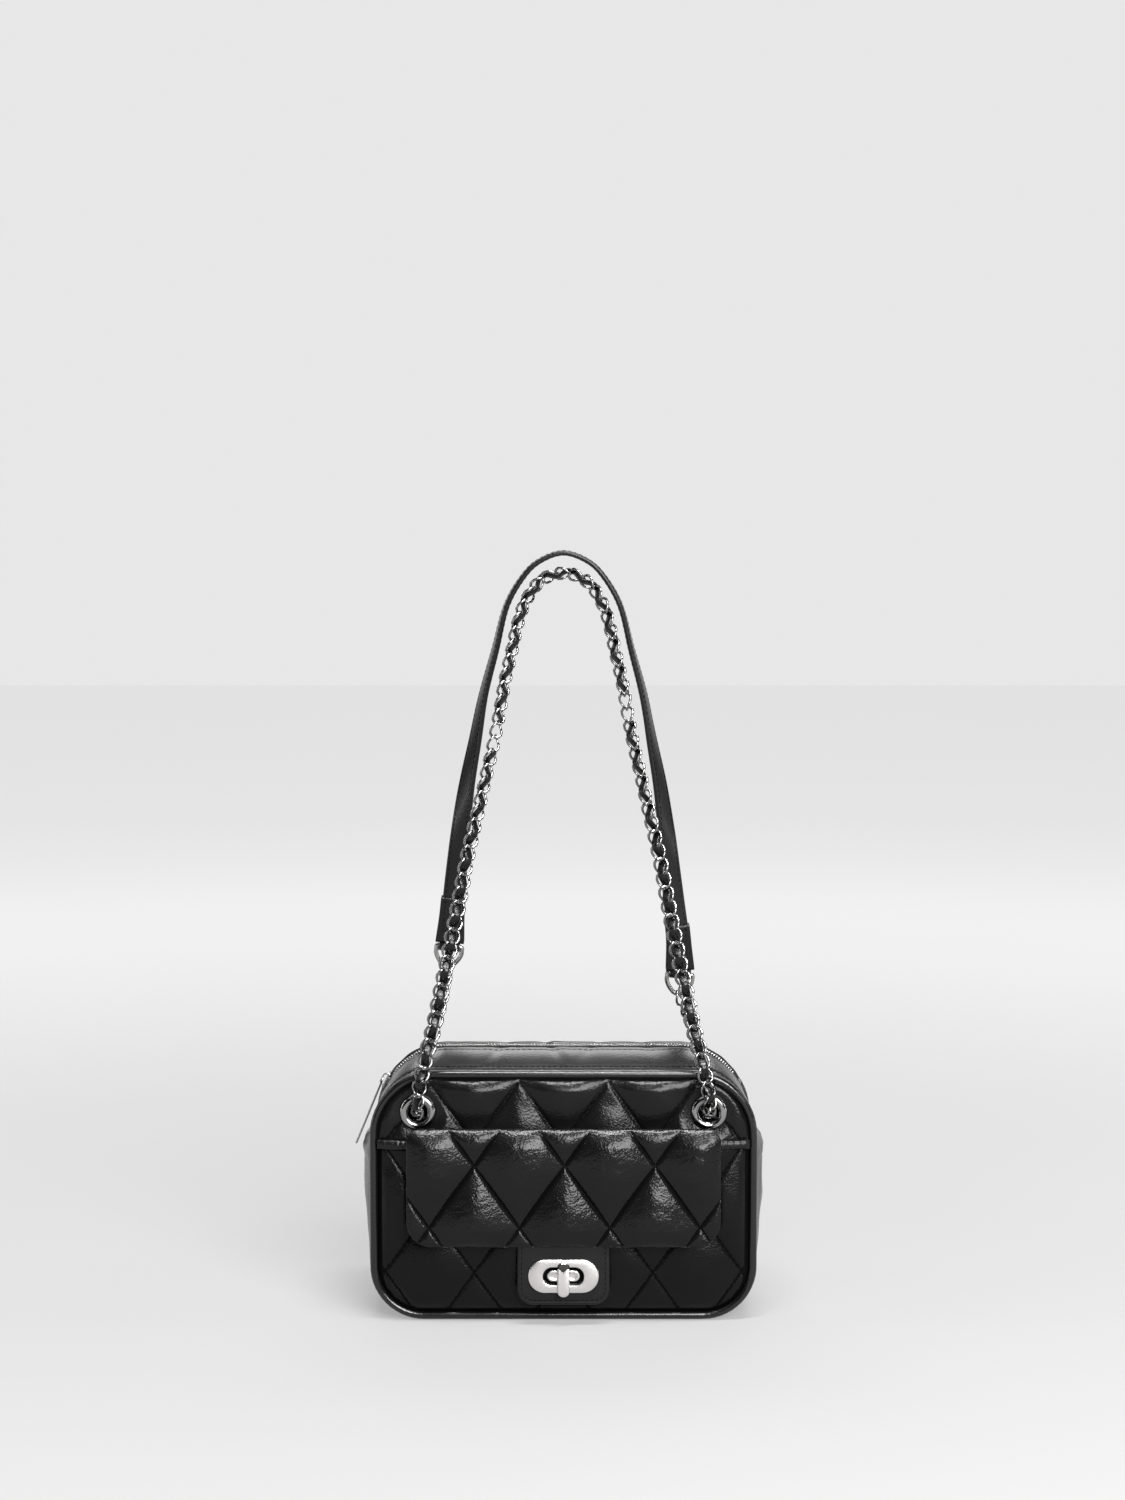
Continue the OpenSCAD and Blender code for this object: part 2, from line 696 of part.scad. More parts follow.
base_h = slot_h + base_rim_h;
base_back = soft_gap - pocket_point(0, lock_z + base_h / 2, pocket_front)[1];
base_front = base_back + base_t;
boss_room_w = 3.7;
boss_room_h = 3.1;
boss_low = 0.7;
boss_w = slot_w - boss_room_w;
boss_h = slot_h - boss_room_h;
boss_front = plate_front - boss_low;
spindle_r = 1.6;
spindle_end = 0.6;
spindle_in = base_front + spindle_end;
bar_gap = 0.5;
bar_back = plate_front + bar_gap;
bar_t = 2.6;
washer_back = 0.8;
washer_out = 1.6;
washer_front = face_y + washer_out;
module lock_base() {
    color("#d7cfcb") translate([0, 0, lock_z]) difference() {
        union() {
            along_y(-base_front, -base_back) oval(base_w, base_h);
            along_y(-boss_front, -base_back) oval(boss_w, boss_h);
            along_y(-base_front, -washer_front + washer_back) circle(stem_r);
        }
        along_y(-boss_front - base_t, -spindle_in) circle(spindle_r + run_gap);
    }
}
module lock_washer() {
    color("#a8a8aa") translate([0, 0, lock_z])
        along_y(-washer_front, washer_back - washer_front) difference() {
        circle(base_h / 2);
        circle(stem_r + run_gap);
    }
}
module turn_button() {
    color("#dcd6d2") translate([0, 0, lock_z]) union() {
        along_y(-bar_back - bar_t, -bar_back) rotate([0, 0, 90]) oval(bar_len, bar_w);
        along_y(-bar_back - bar_t / 2, -spindle_in - run_gap) circle(spindle_r);
    }
}

// Chains: every run follows a line through measured points

function curve(p, n) = concat(flat([for (i = [0:len(p) - 2])
    let (a = p[max(0, i - 1)], b = p[i], c = p[i + 1], d = p[min(len(p) - 1, i + 2)])
    [for (k = [0:n - 1]) let (t = k / n)
        0.5 * (2 * b + (c - a) * t
            + (2 * a - 5 * b + 4 * c - d) * t * t + (3 * b - a - 3 * c + d) * t * t * t)]]),
    [p[len(p) - 1]]);
function run_lengths(p, i = 0, done = 0) = i >= len(p) - 1 ? [done]
    : concat([done], run_lengths(p, i + 1, done + norm(p[i + 1] - p[i])));
// A run is its length and three tables of coordinates by length
function make_run(p) = let (s = run_lengths(p)) [s[len(s) - 1],
    [for (i = [0:len(p) - 1]) [s[i], p[i][0]]],
    [for (i = [0:len(p) - 1]) [s[i], p[i][1]]],
    [for (i = [0:len(p) - 1]) [s[i], p[i][2]]]];
function run_at(run, s) = [lookup(s, run[1]), lookup(s, run[2]), lookup(s, run[3])];
link_pitch = link_len - 2 * wire_d - link_play;
function link_count(length) = ceil(length / link_pitch);
// Sideways direction across a tangent, turned by an angle about it
function across_of(t, ref, angle) = let (n = unit(ref - (ref * t) * t), b = cross(t, n))
    cos(angle) * n + sin(angle) * b;
wire_r = wire_d / 2;
bend_r = link_w / 2 - wire_r;
hook = link_len / 2 - wire_r - link_pitch / 2;
module link() {
    straight = link_len - link_w;
    rotate([90, 0, 0]) union() {
        translate([0, straight / 2, 0]) rotate_extrude(angle = 180) translate([bend_r, 0]) circle(wire_r);
        translate([0, -straight / 2, 0]) rotate([0, 0, 180])
            rotate_extrude(angle = 180) translate([bend_r, 0]) circle(wire_r);
        for (side = [-1, 1])
            translate([side * bend_r, straight / 2, 0]) rotate([90, 0, 0]) cylinder(h = straight, r = wire_r);
    }
}
// A link at a point, its length along t and its width along w
module placed_link(p, t, w) {
    v = cross(t, w);
    multmatrix([[w[0], v[0], t[0], p[0]], [w[1], v[1], t[1], p[1]],
        [w[2], v[2], t[2], p[2]], [0, 0, 0, 1]]) link();
}
// The links turn through an eighth of a turn over the first few at each end, so that the end links
// stand square to what they hook into
settle_links = 5;
function base_turn(i, n) = -45 * max(0, 1 - i / settle_links)
    + (n % 2 == 0 ? 45 : -45) * max(0, 1 - (n - 1 - i) / settle_links);
function link_turn(i, n) = base_turn(i, n) + (i % 2 == 0 ? 45 : -45);
module chain_links(run, n, first, last, ref) {
    p = run[0] / n;
    for (i = [first:last]) {
        a = run_at(run, i * p);
        b = run_at(run, (i + 1) * p);
        t = unit(b - a);
        placed_link((a + b) / 2, t, across_of(t, ref, link_turn(i, n)));
    }
}
lace_room = 0.4;
lace_reach = wire_r + lace_side / 2 + lace_room;
lace_hold = 1.5;
// Lace from one joint of the chain to another, passing in front of and behind alternate joints
module lace(run, n, first, last, ref) {
    p = run[0] / n;
    rings = flat([for (i = [first:last]) let (
            s = i * p,
            t = unit(run_at(run, s + lace_hold) - run_at(run, s - lace_hold)),
            turn = (base_turn(max(i - 1, 0), n) + base_turn(min(i, n - 1), n)) / 2,
            side = i % 2 == 0 ? 1 : -1,
            u = across_of(t, ref, turn + 45),
            v = across_of(t, ref, turn - 45),
            c = side * lace_reach * (u + v),
            h = lace_side / 2)
        [for (d = [-lace_hold, lace_hold]) let (q = run_at(run, s + d) + c)
            [q - h * u - h * v, q + h * u - h * v, q + h * u + h * v, q - h * u + h * v]]]);
    m = len(rings);
    polyhedron(flat(rings), concat(
        flat([for (i = [0:m - 2]) for (j = [0:3])
            let (a = 4 * i + j, b = 4 * i + (j + 1) % 4, c = b + 4, d = a + 4) [[a, c, d], [a, b, c]]]),
        [[0, 2, 1], [0, 3, 2]],
        [[4 * m - 4, 4 * m - 3, 4 * m - 2], [4 * m - 4, 4 * m - 2, 4 * m - 1]]), convexity = 10);
}

// Where the end links hook on, just outside each eyelet's opening
hook_out = 2.15;
hook_y = face_y + eyelet_sec + hook_out;
hook_z = eyelet_z - chain_room;
// A route from its shares of the eyelets' half distance, of the hooks' depth and of a rise
function route(table, rise) = [for (q = table) [q[0] * eyelet_x, q[1] * hook_y, hook_z + q[2] * rise]];
function mirrored(p) = [-p[0], p[1], p[2]];
function reversed(list) = [for (i = [len(list) - 1:-1:0]) list[i]];
// The first steps of every run out of an eyelet, from its hook point, in links
leave_shares = [[0, -0.6759, 0.7448], [-0.1241, -0.9103, 1.8207],
    [-0.4138, -0.731, 3.2414], [-0.8, -0.4828, 4.8966]];
leave_steps = [for (d = leave_shares) d * link_pitch];
hook_front = [eyelet_x, -hook_y, hook_z];
leave_way = unit(leave_steps[0]);
front_start = concat([hook_front - hook * leave_way], [for (d = leave_steps) hook_front + d]);
chain_rise = strap_rise - chain_drop;
front_shares = [
    [0.8827, -1.0551, 0.1676], [0.8427, -0.9913, 0.2216], [0.8, -0.9275, 0.2757], [0.76, -0.8638, 0.3297],
    [0.7013, -0.7681, 0.4126], [0.664, -0.7014, 0.4685], [0.6173, -0.6348, 0.5243],
    [0.5693, -0.571, 0.5784], [0.5227, -0.5072, 0.6342], [0.4747, -0.4406, 0.6901],
    [0.4373, -0.3768, 0.7441], [0.404, -0.313, 0.7982], [0.3547, -0.2464, 0.8559],
    [0.312, -0.1826, 0.9099], [0.2747, -0.1478, 0.9387], [0.2133, -0.1101, 0.9694],
    [0.1267, -0.087, 0.9914]];
front_top_shares = [[0, -0.0754, 1]];
front_right = concat(front_start, route(front_shares, chain_rise));
front_run = make_run(curve(concat([for (p = front_right) mirrored(p)], route(front_top_shares, chain_rise),
    reversed(front_right)), 6));
front_n = link_count(front_run[0]);
front_ref = [0, 1, 0];
// Joints where the lace stops and a bare joint shows
lace_left_share = 0.335;
lace_right_share = 0.367;
lace_break_left = round(front_n * lace_left_share);
lace_break_right = front_n - round(front_n * lace_right_share);
module front_chain_left() {
    color("#c9c9cc") chain_links(front_run, front_n, 0, lace_break_left - 1, front_ref);
}
module front_chain_top() {
    color("#c9c9cc") chain_links(front_run, front_n, lace_break_left, lace_break_right - 1, front_ref);
}
module front_chain_right() {
    color("#c9c9cc") chain_links(front_run, front_n, lace_break_right, front_n - 1, front_ref);
}
module front_lace_left() {
    color("#18181a") lace(front_run, front_n, 1, lace_break_left - 1, front_ref);
}
module front_lace_top() {
    color("#18181a") lace(front_run, front_n, lace_break_left + 1, lace_break_right - 1, front_ref);
}
module front_lace_right() {
    color("#18181a") lace(front_run, front_n, lace_break_right + 1, front_n - 1, front_ref);
}

// Rear legs run from the rear eyelets to the strap's rings, which lie on one line
ring_shares = [[-0.8133, 0.9217, 0.2697], [0.836, 0.9855, 0.2167]];
ring_left = route(ring_shares, strap_rise)[0];
ring_right = route(ring_shares, strap_rise)[1];
ring_line = unit(ring_right - ring_left);
ring_room = 1.7;
ring_bend = strap_w / 2 + ring_room;
ring_side = 4.1;
ring_drop = ring_bend + ring_side;
ring_hold = ring_r + wire_r + 2 * run_gap - hook;
hook_rear = [eyelet_x, hook_y, hook_z];
rear_steps = [for (d = leave_steps) [d[0], -d[1], d[2]]];
rear_leave = unit(rear_steps[0]);
rear_start = concat([hook_rear - hook * rear_leave], [for (d = rear_steps) hook_rear + d]);
// Downward direction of the ring at one end
function ring_down(p, below) = unit(below - p - ((below - p) * ring_line) * ring_line);
below_shares = [[-0.872, 1.0725, 0.1616], [0.888, 1.0957, 0.1373], [-0.8747, 1.0609, 0.1686]];
below_rings = route(below_shares, strap_rise);
down_left = ring_down(ring_left, below_rings[0]);
down_right = ring_down(ring_right, below_rings[1]);
foot_left = ring_left + (ring_drop - ring_hold) * down_left;
foot_right = ring_right + (ring_drop - ring_hold) * down_right;
rear_left_run = make_run(curve(concat([for (p = rear_start) mirrored(p)], [below_rings[2], foot_left]), 6));
rear_right_run = make_run(curve(concat(rear_start, [foot_right]), 6));
rear_left_n = link_count(rear_left_run[0]);
rear_right_n = link_count(rear_right_run[0]);
module rear_chain_left() {
    color("#c9c9cc") chain_links(rear_left_run, rear_left_n, 0, rear_left_n - 1, front_ref);
}
module rear_chain_right() {
    color("#c9c9cc") chain_links(rear_right_run, rear_right_n, 0, rear_right_n - 1, front_ref);
}
module rear_lace_left() {
    color("#18181a") lace(rear_left_run, rear_left_n, 1, rear_left_n - 1, front_ref);
}
module rear_lace_right() {
    color("#18181a") lace(rear_right_run, rear_right_n, 1, rear_right_n - 1, front_ref);
}
// A long ring: a bar through the tab, two straight sides and a round foot
module strap_ring(p, down) {
    w = ring_line;
    u = -down;
    v = cross(u, w);
    multmatrix([[w[0], v[0], u[0], p[0]], [w[1], v[1], u[1], p[1]],
        [w[2], v[2], u[2], p[2]], [0, 0, 0, 1]]) union() {
        translate([-ring_bend, 0, 0]) rotate([0, 90, 0]) cylinder(h = 2 * ring_bend, r = ring_r);
        for (side = [-1, 1]) {
            translate([side * ring_bend, 0, 0]) sphere(ring_r);
            translate([side * ring_bend, 0, -ring_side]) cylinder(h = ring_side, r = ring_r);
        }
        translate([0, 0, -ring_side]) rotate([-90, 0, 0])
            rotate_extrude(angle = 180) translate([ring_bend, 0]) circle(ring_r);
    }
}
module strap_ring_left() {
    color("#c9c9cc") strap_ring(ring_left, down_left);
}
module strap_ring_right() {
    color("#c9c9cc") strap_ring(ring_right, down_right);
}

// Shoulder strap: stands on edge over the shoulder and turns its face forward at the ends
strap_shares = [
    [0.7627, 0.7594, 0.406], [0.7253, 0.6551, 0.4908], [0.68, 0.5507, 0.5753], [0.6187, 0.4493, 0.6587],
    [0.5587, 0.3478, 0.7421], [0.4747, 0.2464, 0.8241], [0.392, 0.1478, 0.9065], [0.264, 0.1072, 0.9625],
    [0.1467, 0.0928, 0.9882]];
strap_lead_shares = [[-0.7987, 0.8667, 0.3146], [-0.7853, 0.8232, 0.3528],
    [0.7893, 0.829, 0.3493], [0.8187, 0.8957, 0.2902]];
strap_top_shares = [[0, 0.087, 1]];
strap_half = route(strap_shares, strap_rise);
strap_leads = route(strap_lead_shares, strap_rise);
strap_run = make_run(curve(concat([ring_left, strap_leads[0], strap_leads[1]],
    [for (p = strap_half) mirrored(p)], route(strap_top_shares, strap_rise), reversed(strap_half),
    [strap_leads[2], strap_leads[3], ring_right]), 6));
// Turn of the strap at each distance from its ends, counted in tabs
strap_turn_shares = [[0, 90], [1, 89.2], [1.63, 74], [3.33, 42], [5.19, 17], [7.04, 5], [8.52, 0], [99, 0]];
function strap_frame(s) = let (
        len_all = strap_run[0],
        t = unit(run_at(strap_run, min(s + 1, len_all)) - run_at(strap_run, max(s - 1, 0))),
        turn = lookup(min(s, len_all - s) / tab_len, strap_turn_shares))
    [across_of(t, front_ref, turn), across_of(t, front_ref, turn + 90)];
function strap_rows(stations, w, low, high) =
    [for (s = stations) let (f = strap_frame(s), p = run_at(strap_run, s))
    [p - w * f[0] + high * f[1], p + w * f[0] + high * f[1],
        p + w * f[0] + low * f[1], p - w * f[0] + low * f[1]]];
module strap_band(stations, w, low, high) {
    rings = strap_rows(stations, w, low, high);
    m = len(rings);
    polyhedron(flat(rings), concat(
        flat([for (i = [0:m - 2]) for (j = [0:3])
            let (a = 4 * i + j, b = 4 * i + (j + 1) % 4, c = b + 4, d = a + 4) [[a, c, d], [a, b, c]]]),
        [[0, 2, 1], [0, 3, 2]],
        [[4 * m - 4, 4 * m - 3, 4 * m - 2], [4 * m - 4, 4 * m - 2, 4 * m - 1]]), convexity = 6);
}
tab_bore = ring_r + 2 * run_gap;
tab_skin = 1.1;
loop_skin = 1.5;
tab_loop = tab_bore + loop_skin;
strap_steps = 44;
tab_steps = 8;
tab_step = tab_len / tab_steps;
module shoulder_strap() {
    span = strap_run[0] - 2 * tab_len;
    end_steps = [for (k = [2:tab_steps]) k * tab_step];
    color("#202022") strap_band(concat(end_steps,
        [for (k = [1:strap_steps - 1]) tab_len + span * k / strap_steps],
        [for (d = reversed(end_steps)) strap_run[0] - d]), strap_w / 2, -strap_t / 2, strap_t / 2);
}
module strap_tab(p, start, way) {
    skin_in = strap_t / 2 + soft_gap;
    stations = [for (k = [0:tab_steps]) start + way * tab_step * k];
    ordered = way > 0 ? stations : reversed(stations);
    color("#18181a") difference() {
        union() {
            strap_band(ordered, strap_w / 2, skin_in, skin_in + tab_skin);
            strap_band(ordered, strap_w / 2, -skin_in - tab_skin, -skin_in);
            loop_on_line(p, tab_loop, strap_w - 2 * move_gap);
        }
        loop_on_line(p, tab_bore, 2 * strap_w);
    }
}
// A round bar along the line of the rings
module loop_on_line(p, r, length) {
    w = ring_line;
    n = unit(cross([0, 0, 1], w));
    u = cross(w, n);
    multmatrix([[n[0], u[0], w[0], p[0]], [n[1], u[1], w[1], p[1]], [n[2], u[2], w[2], p[2]], [0, 0, 0, 1]])
        cylinder(h = length, r = r, center = true);
}
module strap_tab_left() {
    strap_tab(ring_left, 0, 1);
}
module strap_tab_right() {
    strap_tab(ring_right, strap_run[0], -1);
}

// Chain inside the bag, from each front eyelet to the rear one
inner_sag = 8;
// Share of the sag at each share of the way from the middle to an eyelet: level through the eyelets
inner_sag_shares = [[-1, 0], [-0.79, -0.06], [-0.58, 0.13], [-0.32, 0.66], [0, 1], [0.32, 0.66], [0.58, 0.13],
    [0.79, -0.06], [1, 0]];
inner_half = hook_y - hook;
function inner_run(side) = make_run(curve([for (q = inner_sag_shares)
    [side * eyelet_x, q[0] * inner_half, hook_z - inner_sag * q[1]]], 6));
inner_n = link_count(inner_run(1)[0]);
inner_ref = [1, 0, 0];
module inner_chain(side) {
    color("#c9c9cc") chain_links(inner_run(side), inner_n, 0, inner_n - 1, inner_ref);
}
module inner_chain_left() {
    inner_chain(-1);
}
module inner_chain_right() {
    inner_chain(1);
}

front_panel();
front_wadding();
back_panel();
back_wadding();
front_piping();
rear_piping();
lower_gusset();
zip_gusset_front();
zip_gusset_rear();
lining();
base_board();
zip_tape_front();
zip_tape_rear();
zip_teeth_front();
zip_teeth_rear();
zip_stops();
zip_slider();
zip_pull();
eyelet_front_left();
eyelet_front_right();
eyelet_rear_left();
eyelet_rear_right();
eyelet_washers();
slip_pocket();
pocket_lining();
pocket_binding();
flap_hinge_strip();
flap_cover();
flap_wadding();
flap_lining();
flap_tongue();
lock_plate();
lock_plate_back();
lock_base();
lock_washer();
turn_button();
front_chain_left();
front_chain_top();
front_chain_right();
front_lace_left();
front_lace_top();
front_lace_right();
rear_chain_left();
rear_chain_right();
rear_lace_left();
rear_lace_right();
strap_ring_left();
strap_ring_right();
shoulder_strap();
strap_tab_left();
strap_tab_right();
inner_chain_left();
inner_chain_right();
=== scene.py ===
import math
import bpy
import numpy as np
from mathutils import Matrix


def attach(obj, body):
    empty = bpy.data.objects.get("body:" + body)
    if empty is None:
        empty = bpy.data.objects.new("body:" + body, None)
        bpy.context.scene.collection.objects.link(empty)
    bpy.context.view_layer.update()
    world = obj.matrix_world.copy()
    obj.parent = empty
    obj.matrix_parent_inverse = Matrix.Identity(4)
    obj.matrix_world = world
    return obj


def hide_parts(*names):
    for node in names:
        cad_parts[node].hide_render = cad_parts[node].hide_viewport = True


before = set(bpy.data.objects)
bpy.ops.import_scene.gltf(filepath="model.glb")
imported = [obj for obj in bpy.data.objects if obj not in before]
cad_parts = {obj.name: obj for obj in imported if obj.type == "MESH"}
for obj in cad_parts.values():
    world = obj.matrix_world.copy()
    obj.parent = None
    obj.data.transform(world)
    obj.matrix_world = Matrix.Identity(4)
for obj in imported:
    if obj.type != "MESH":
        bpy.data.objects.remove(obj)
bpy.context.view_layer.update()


# Camera. It stands level with the strap and looks down a little on the bag, as in the photograph.
# The bag's front is towards -Y.
def put_in_scene(name, data):
    made = bpy.data.objects.new(name, data)
    bpy.context.scene.collection.objects.link(made)
    return made


looks_down = 4.5
camera_lens = bpy.data.cameras.new("front_camera")
camera_lens.lens = 64.54
camera_lens.clip_end = 30
camera = put_in_scene("front_camera", camera_lens)
camera.location = (-0.0005, -1.3957, 0.4037)
camera.rotation_euler = (math.radians(90 - looks_down), 0, 0)
bpy.context.scene.camera = camera


# Studio. The bag stands on a wide sheet of pale paper in a pale room, under a broad light overhead
# and smaller soft lights: one in front to the right, one over the zip, a tall one at each side and a
# wide one behind.
class Wire:
    """A socket of a node tree; sums on wires add their nodes."""

    def __init__(self, owner, socket):
        self.owner = owner
        self.socket = socket

    def sum_of(self, operation, first, second):
        return self.owner.node("ShaderNodeMath", {"operation": operation}, {0: first, 1: second})

    def __add__(self, other):
        return self.sum_of("ADD", self, other)

    def __radd__(self, other):
        return self.sum_of("ADD", other, self)

    def __sub__(self, other):
        return self.sum_of("SUBTRACT", self, other)

    def __rsub__(self, other):
        return self.sum_of("SUBTRACT", other, self)

    def __mul__(self, other):
        return self.sum_of("MULTIPLY", self, other)

    def __rmul__(self, other):
        return self.sum_of("MULTIPLY", other, self)


class Nodes:
    """A node tree that is built one node at a time."""

    def __init__(self, tree):
        self.tree = tree
        tree.nodes.clear()

    def node(self, kind, settings=None, values=None, out=0):
        made = self.tree.nodes.new(kind)
        for key, value in (settings or {}).items():
            setattr(made, key, value)
        for key, value in (values or {}).items():
            if isinstance(value, Wire):
                self.tree.links.new(value.socket, made.inputs[key])
            else:
                made.inputs[key].default_value = value
        return Wire(self, made.outputs[out])

    def end(self, kind, label, last):
        self.tree.links.new(last.socket, self.tree.nodes.new(kind).inputs[label])


class Finish(Nodes):
    """A material that is built node by node."""

    def __init__(self, name):
        self.material = bpy.data.materials.new(name)
        self.material.use_nodes = True
        super().__init__(self.material.node_tree)

    def place(self):
        return self.node("ShaderNodeTexCoord", out="Object")

    def noise(self, scale, detail=2.0):
        return self.node("ShaderNodeTexNoise", None, {
            "Vector": self.place(), "Scale": scale, "Detail": detail, "Roughness": 0.5}, "Fac")

    def blend(self, factor, first, second):
        return self.node("ShaderNodeMix", {"data_type": "RGBA"}, {0: factor, 6: first, 7: second}, 2)

    def bump(self, height, distance, strength=1.0):
        return self.node("ShaderNodeBump", None, {
            "Height": height, "Distance": distance, "Strength": strength}, "Normal")

    def done(self, values):
        surface = self.node("ShaderNodeBsdfPrincipled", None, values, "BSDF")
        self.end("ShaderNodeOutputMaterial", "Surface", surface)
        return self.material


def grey(value, blue=1.0):
    return (value, value, value * blue, 1)


def paper():
    """Pale paper that glows evenly, less so round the bag, which mirrors it."""
    f = Finish("pale_paper")
    tone = f.blend(f.noise(3.0), grey(0.15), grey(0.16))
    away = f.node("ShaderNodeVectorMath", {"operation": "LENGTH"}, {0: f.place()}, "Value")
    near = f.node("ShaderNodeMapRange", {"interpolation_type": "SMOOTHSTEP"}, {
        "Value": away, "From Min": 0.0, "From Max": 1.7, "To Min": 1.0, "To Max": 0.0})
    return f.done({"Base Color": tone, "Roughness": 0.95, "Specular IOR Level": 0.0,
                   "Emission Color": f.blend(near, grey(0.7), grey(0.345)),
                   "Emission Strength": 1.0})


def paper_sheet():
    mesh = bpy.data.meshes.new("paper_sheet")
    mesh.from_pydata([(-4, -4, 0), (4, -4, 0), (4, 6, 0), (-4, 6, 0)], [], [(0, 1, 2, 3)])
    mesh.materials.append(paper())
    return put_in_scene("paper_sheet", mesh)


def soft_light(name, place, width, height, watts):
    """A flat light that faces the bag's middle."""
    lamp = bpy.data.lights.new(name, "AREA")
    lamp.shape = "RECTANGLE"
    lamp.size, lamp.size_y, lamp.energy = width, height, watts
    holder = put_in_scene(name, lamp)
    way = np.array((0, 0, 0.1)) - np.array(place)
    flat = math.hypot(way[0], way[1])
    holder.location = place
    holder.rotation_euler = (math.atan2(flat, -way[2]), 0, math.atan2(-way[0], way[1]))


def pale_room():
    """A room that is pale behind the bag and dim in front of it; the camera sees it pale all round."""
    room = bpy.data.worlds.new("pale_room")
    room.use_nodes = True
    r = Nodes(room.node_tree)
    ahead = r.node("ShaderNodeSeparateXYZ", None, {
        0: r.node("ShaderNodeTexCoord", out="Generated")}, "Y")
    behind = r.node("ShaderNodeMapRange", None, {
        "Value": ahead, "From Min": 0.45, "From Max": 0.9, "To Min": 0.015, "To Max": 1.0})
    lit = r.node("ShaderNodeBackground", None, {"Color": grey(1), "Strength": behind})
    pale = r.node("ShaderNodeBackground", None, {"Color": grey(0.8)})
    seen = r.node("ShaderNodeLightPath", out="Is Camera Ray")
    choice = r.node("ShaderNodeMixShader", None, {0: seen, 1: lit, 2: pale})
    r.end("ShaderNodeOutputWorld", "Surface", choice)
    return room


paper_sheet()
overhead = bpy.data.lights.new("light_overhead", "SUN")
overhead.energy = 0.8
overhead.angle = math.radians(70)
put_in_scene("light_overhead", overhead).rotation_euler = (math.radians(8), math.radians(-8), 0)
soft_light("light_front_right", (0.55, -1.45, 0.85), 1.0, 1.0, 62)
soft_light("light_over_zip", (0.1, -0.45, 1.5), 0.9, 0.22, 34)
soft_light("light_left", (-1.2, -0.12, 0.4), 0.09, 0.9, 3)
soft_light("light_right", (1.2, -0.12, 0.4), 0.09, 0.9, 2.5)
soft_light("light_behind", (0, 1.25, 1.3), 1.7, 0.6, 16)
bpy.context.scene.world = pale_room()
bpy.context.scene.view_settings.view_transform = "Standard"


# Front and back panels. Each is leather quilted in diamonds on wadding, let into the piping's seam.
# The stitch lines stay down in creases, where a near-black finish paints the shade, and the wadding lifts
# the leather between them.
# Flat shapes are given as half width, bottom, top, and the lower and upper corners' radius.
panel_shape = (95.9, 4.4, 126.7, 23.9, 29.9)
panel_seams = (0, 26, 46, 66)  # where two seams cross, and the diamonds' width and height
panel_back, panel_edge = 27.8, 28.4  # how far they stand from the bag's middle
eyelet_x, eyelet_z = 75, 109.3


def leather(name, gloss=0.2, grain=1.0, depth=1.4, shade=0.0025, coat=0.04, shine=0.24):
    """Black leather with pebbled grain, fine pores and uneven wear."""
    f = Finish(name)
    pebbles = f.node("ShaderNodeTexVoronoi", {"feature": "SMOOTH_F1"}, {
        "Vector": f.place(), "Scale": 1000 / grain, "Smoothness": 0.7}, "Distance")
    creases = f.noise(240, 3.0)
    pores = f.noise(3200, 1.0)
    height = (1 - pebbles) * 0.7 + creases * 0.12 + pores * 0.12
    wear = f.noise(38)
    worn = (shade * 1.7, shade * 1.65, shade * 1.65, 1)
    return f.done({
        "Base Color": f.blend(wear, grey(shade, 1.04), worn),
        "Roughness": gloss - 0.04 + 0.09 * wear + 0.05 * creases,
        "Specular IOR Level": shine, "Coat Weight": coat, "Coat Roughness": 0.16,
        "Normal": f.bump(height, 0.00016 * depth, 0.8)})


def xyz(x, y, z):
    return np.stack([x, y, z], -1)


def share(value):
    return np.clip(value, 0, 1)


def hump(away, width):
    """1 at the middle, falling to nothing a few widths away."""
    return np.exp(-((away / width) ** 2))


def full_turn(count):
    return np.linspace(0, 2 * math.pi, count, endpoint=False)


def new_piece(name, points, faces, finish):
    """A mesh piece from points in millimetres, its faces turned outwards."""
    points = np.asarray(points, float) * 0.001
    volume = 0.0
    for size in {len(f) for f in faces}:
        group = np.array([f for f in faces if len(f) == size])
        for k in range(1, size - 1):
            a, b, c = points[group[:, 0]], points[group[:, k]], points[group[:, k + 1]]
            volume += np.einsum("ij,ij->i", a, np.cross(b, c)).sum()
    if volume < 0:
        faces = [tuple(reversed(f)) for f in faces]
    mesh = bpy.data.meshes.new(name)
    mesh.from_pydata(points.tolist(), [], [tuple(map(int, f)) for f in faces])
    mesh.validate()
    mesh.polygons.foreach_set("use_smooth", [True] * len(mesh.polygons))
    if finish:
        mesh.materials.append(finish)
    return put_in_scene(name, mesh)


def skin_mesh(outer, inner, keep=None):
    """Points and faces of a sheet with an outer and an inner grid, closed all round its edges."""
    m, n = outer.shape[:2]
    i, j = np.meshgrid(np.arange(m - 1), np.arange(n - 1), indexing="ij")
    quads = np.stack([i * n + j, i * n + j + 1, (i + 1) * n + j + 1, (i + 1) * n + j], -1)
    quads = quads.reshape(-1, 4) if keep is None else quads[keep]
    edges = np.concatenate([quads[:, [k, (k + 1) % 4]] for k in range(4)])
    codes = edges[:, 0] * m * n + edges[:, 1]
    rim = edges[~np.isin(codes, edges[:, 1] * m * n + edges[:, 0])]
    under = m * n
    walls = np.stack([rim[:, 1], rim[:, 0], rim[:, 0] + under, rim[:, 1] + under], -1)
    faces = np.concatenate([quads, quads[:, ::-1] + under, walls])
    points = np.concatenate([outer.reshape(-1, 3), inner.reshape(-1, 3)])
    used = np.unique(faces)
    renumber = np.zeros(len(points), int)
    renumber[used] = np.arange(len(used))
    return points[used], [tuple(f) for f in renumber[faces]]


def middles(grid):
    """The middle of each face of a grid."""
    return (grid[:-1, :-1] + grid[1:, 1:]) / 2


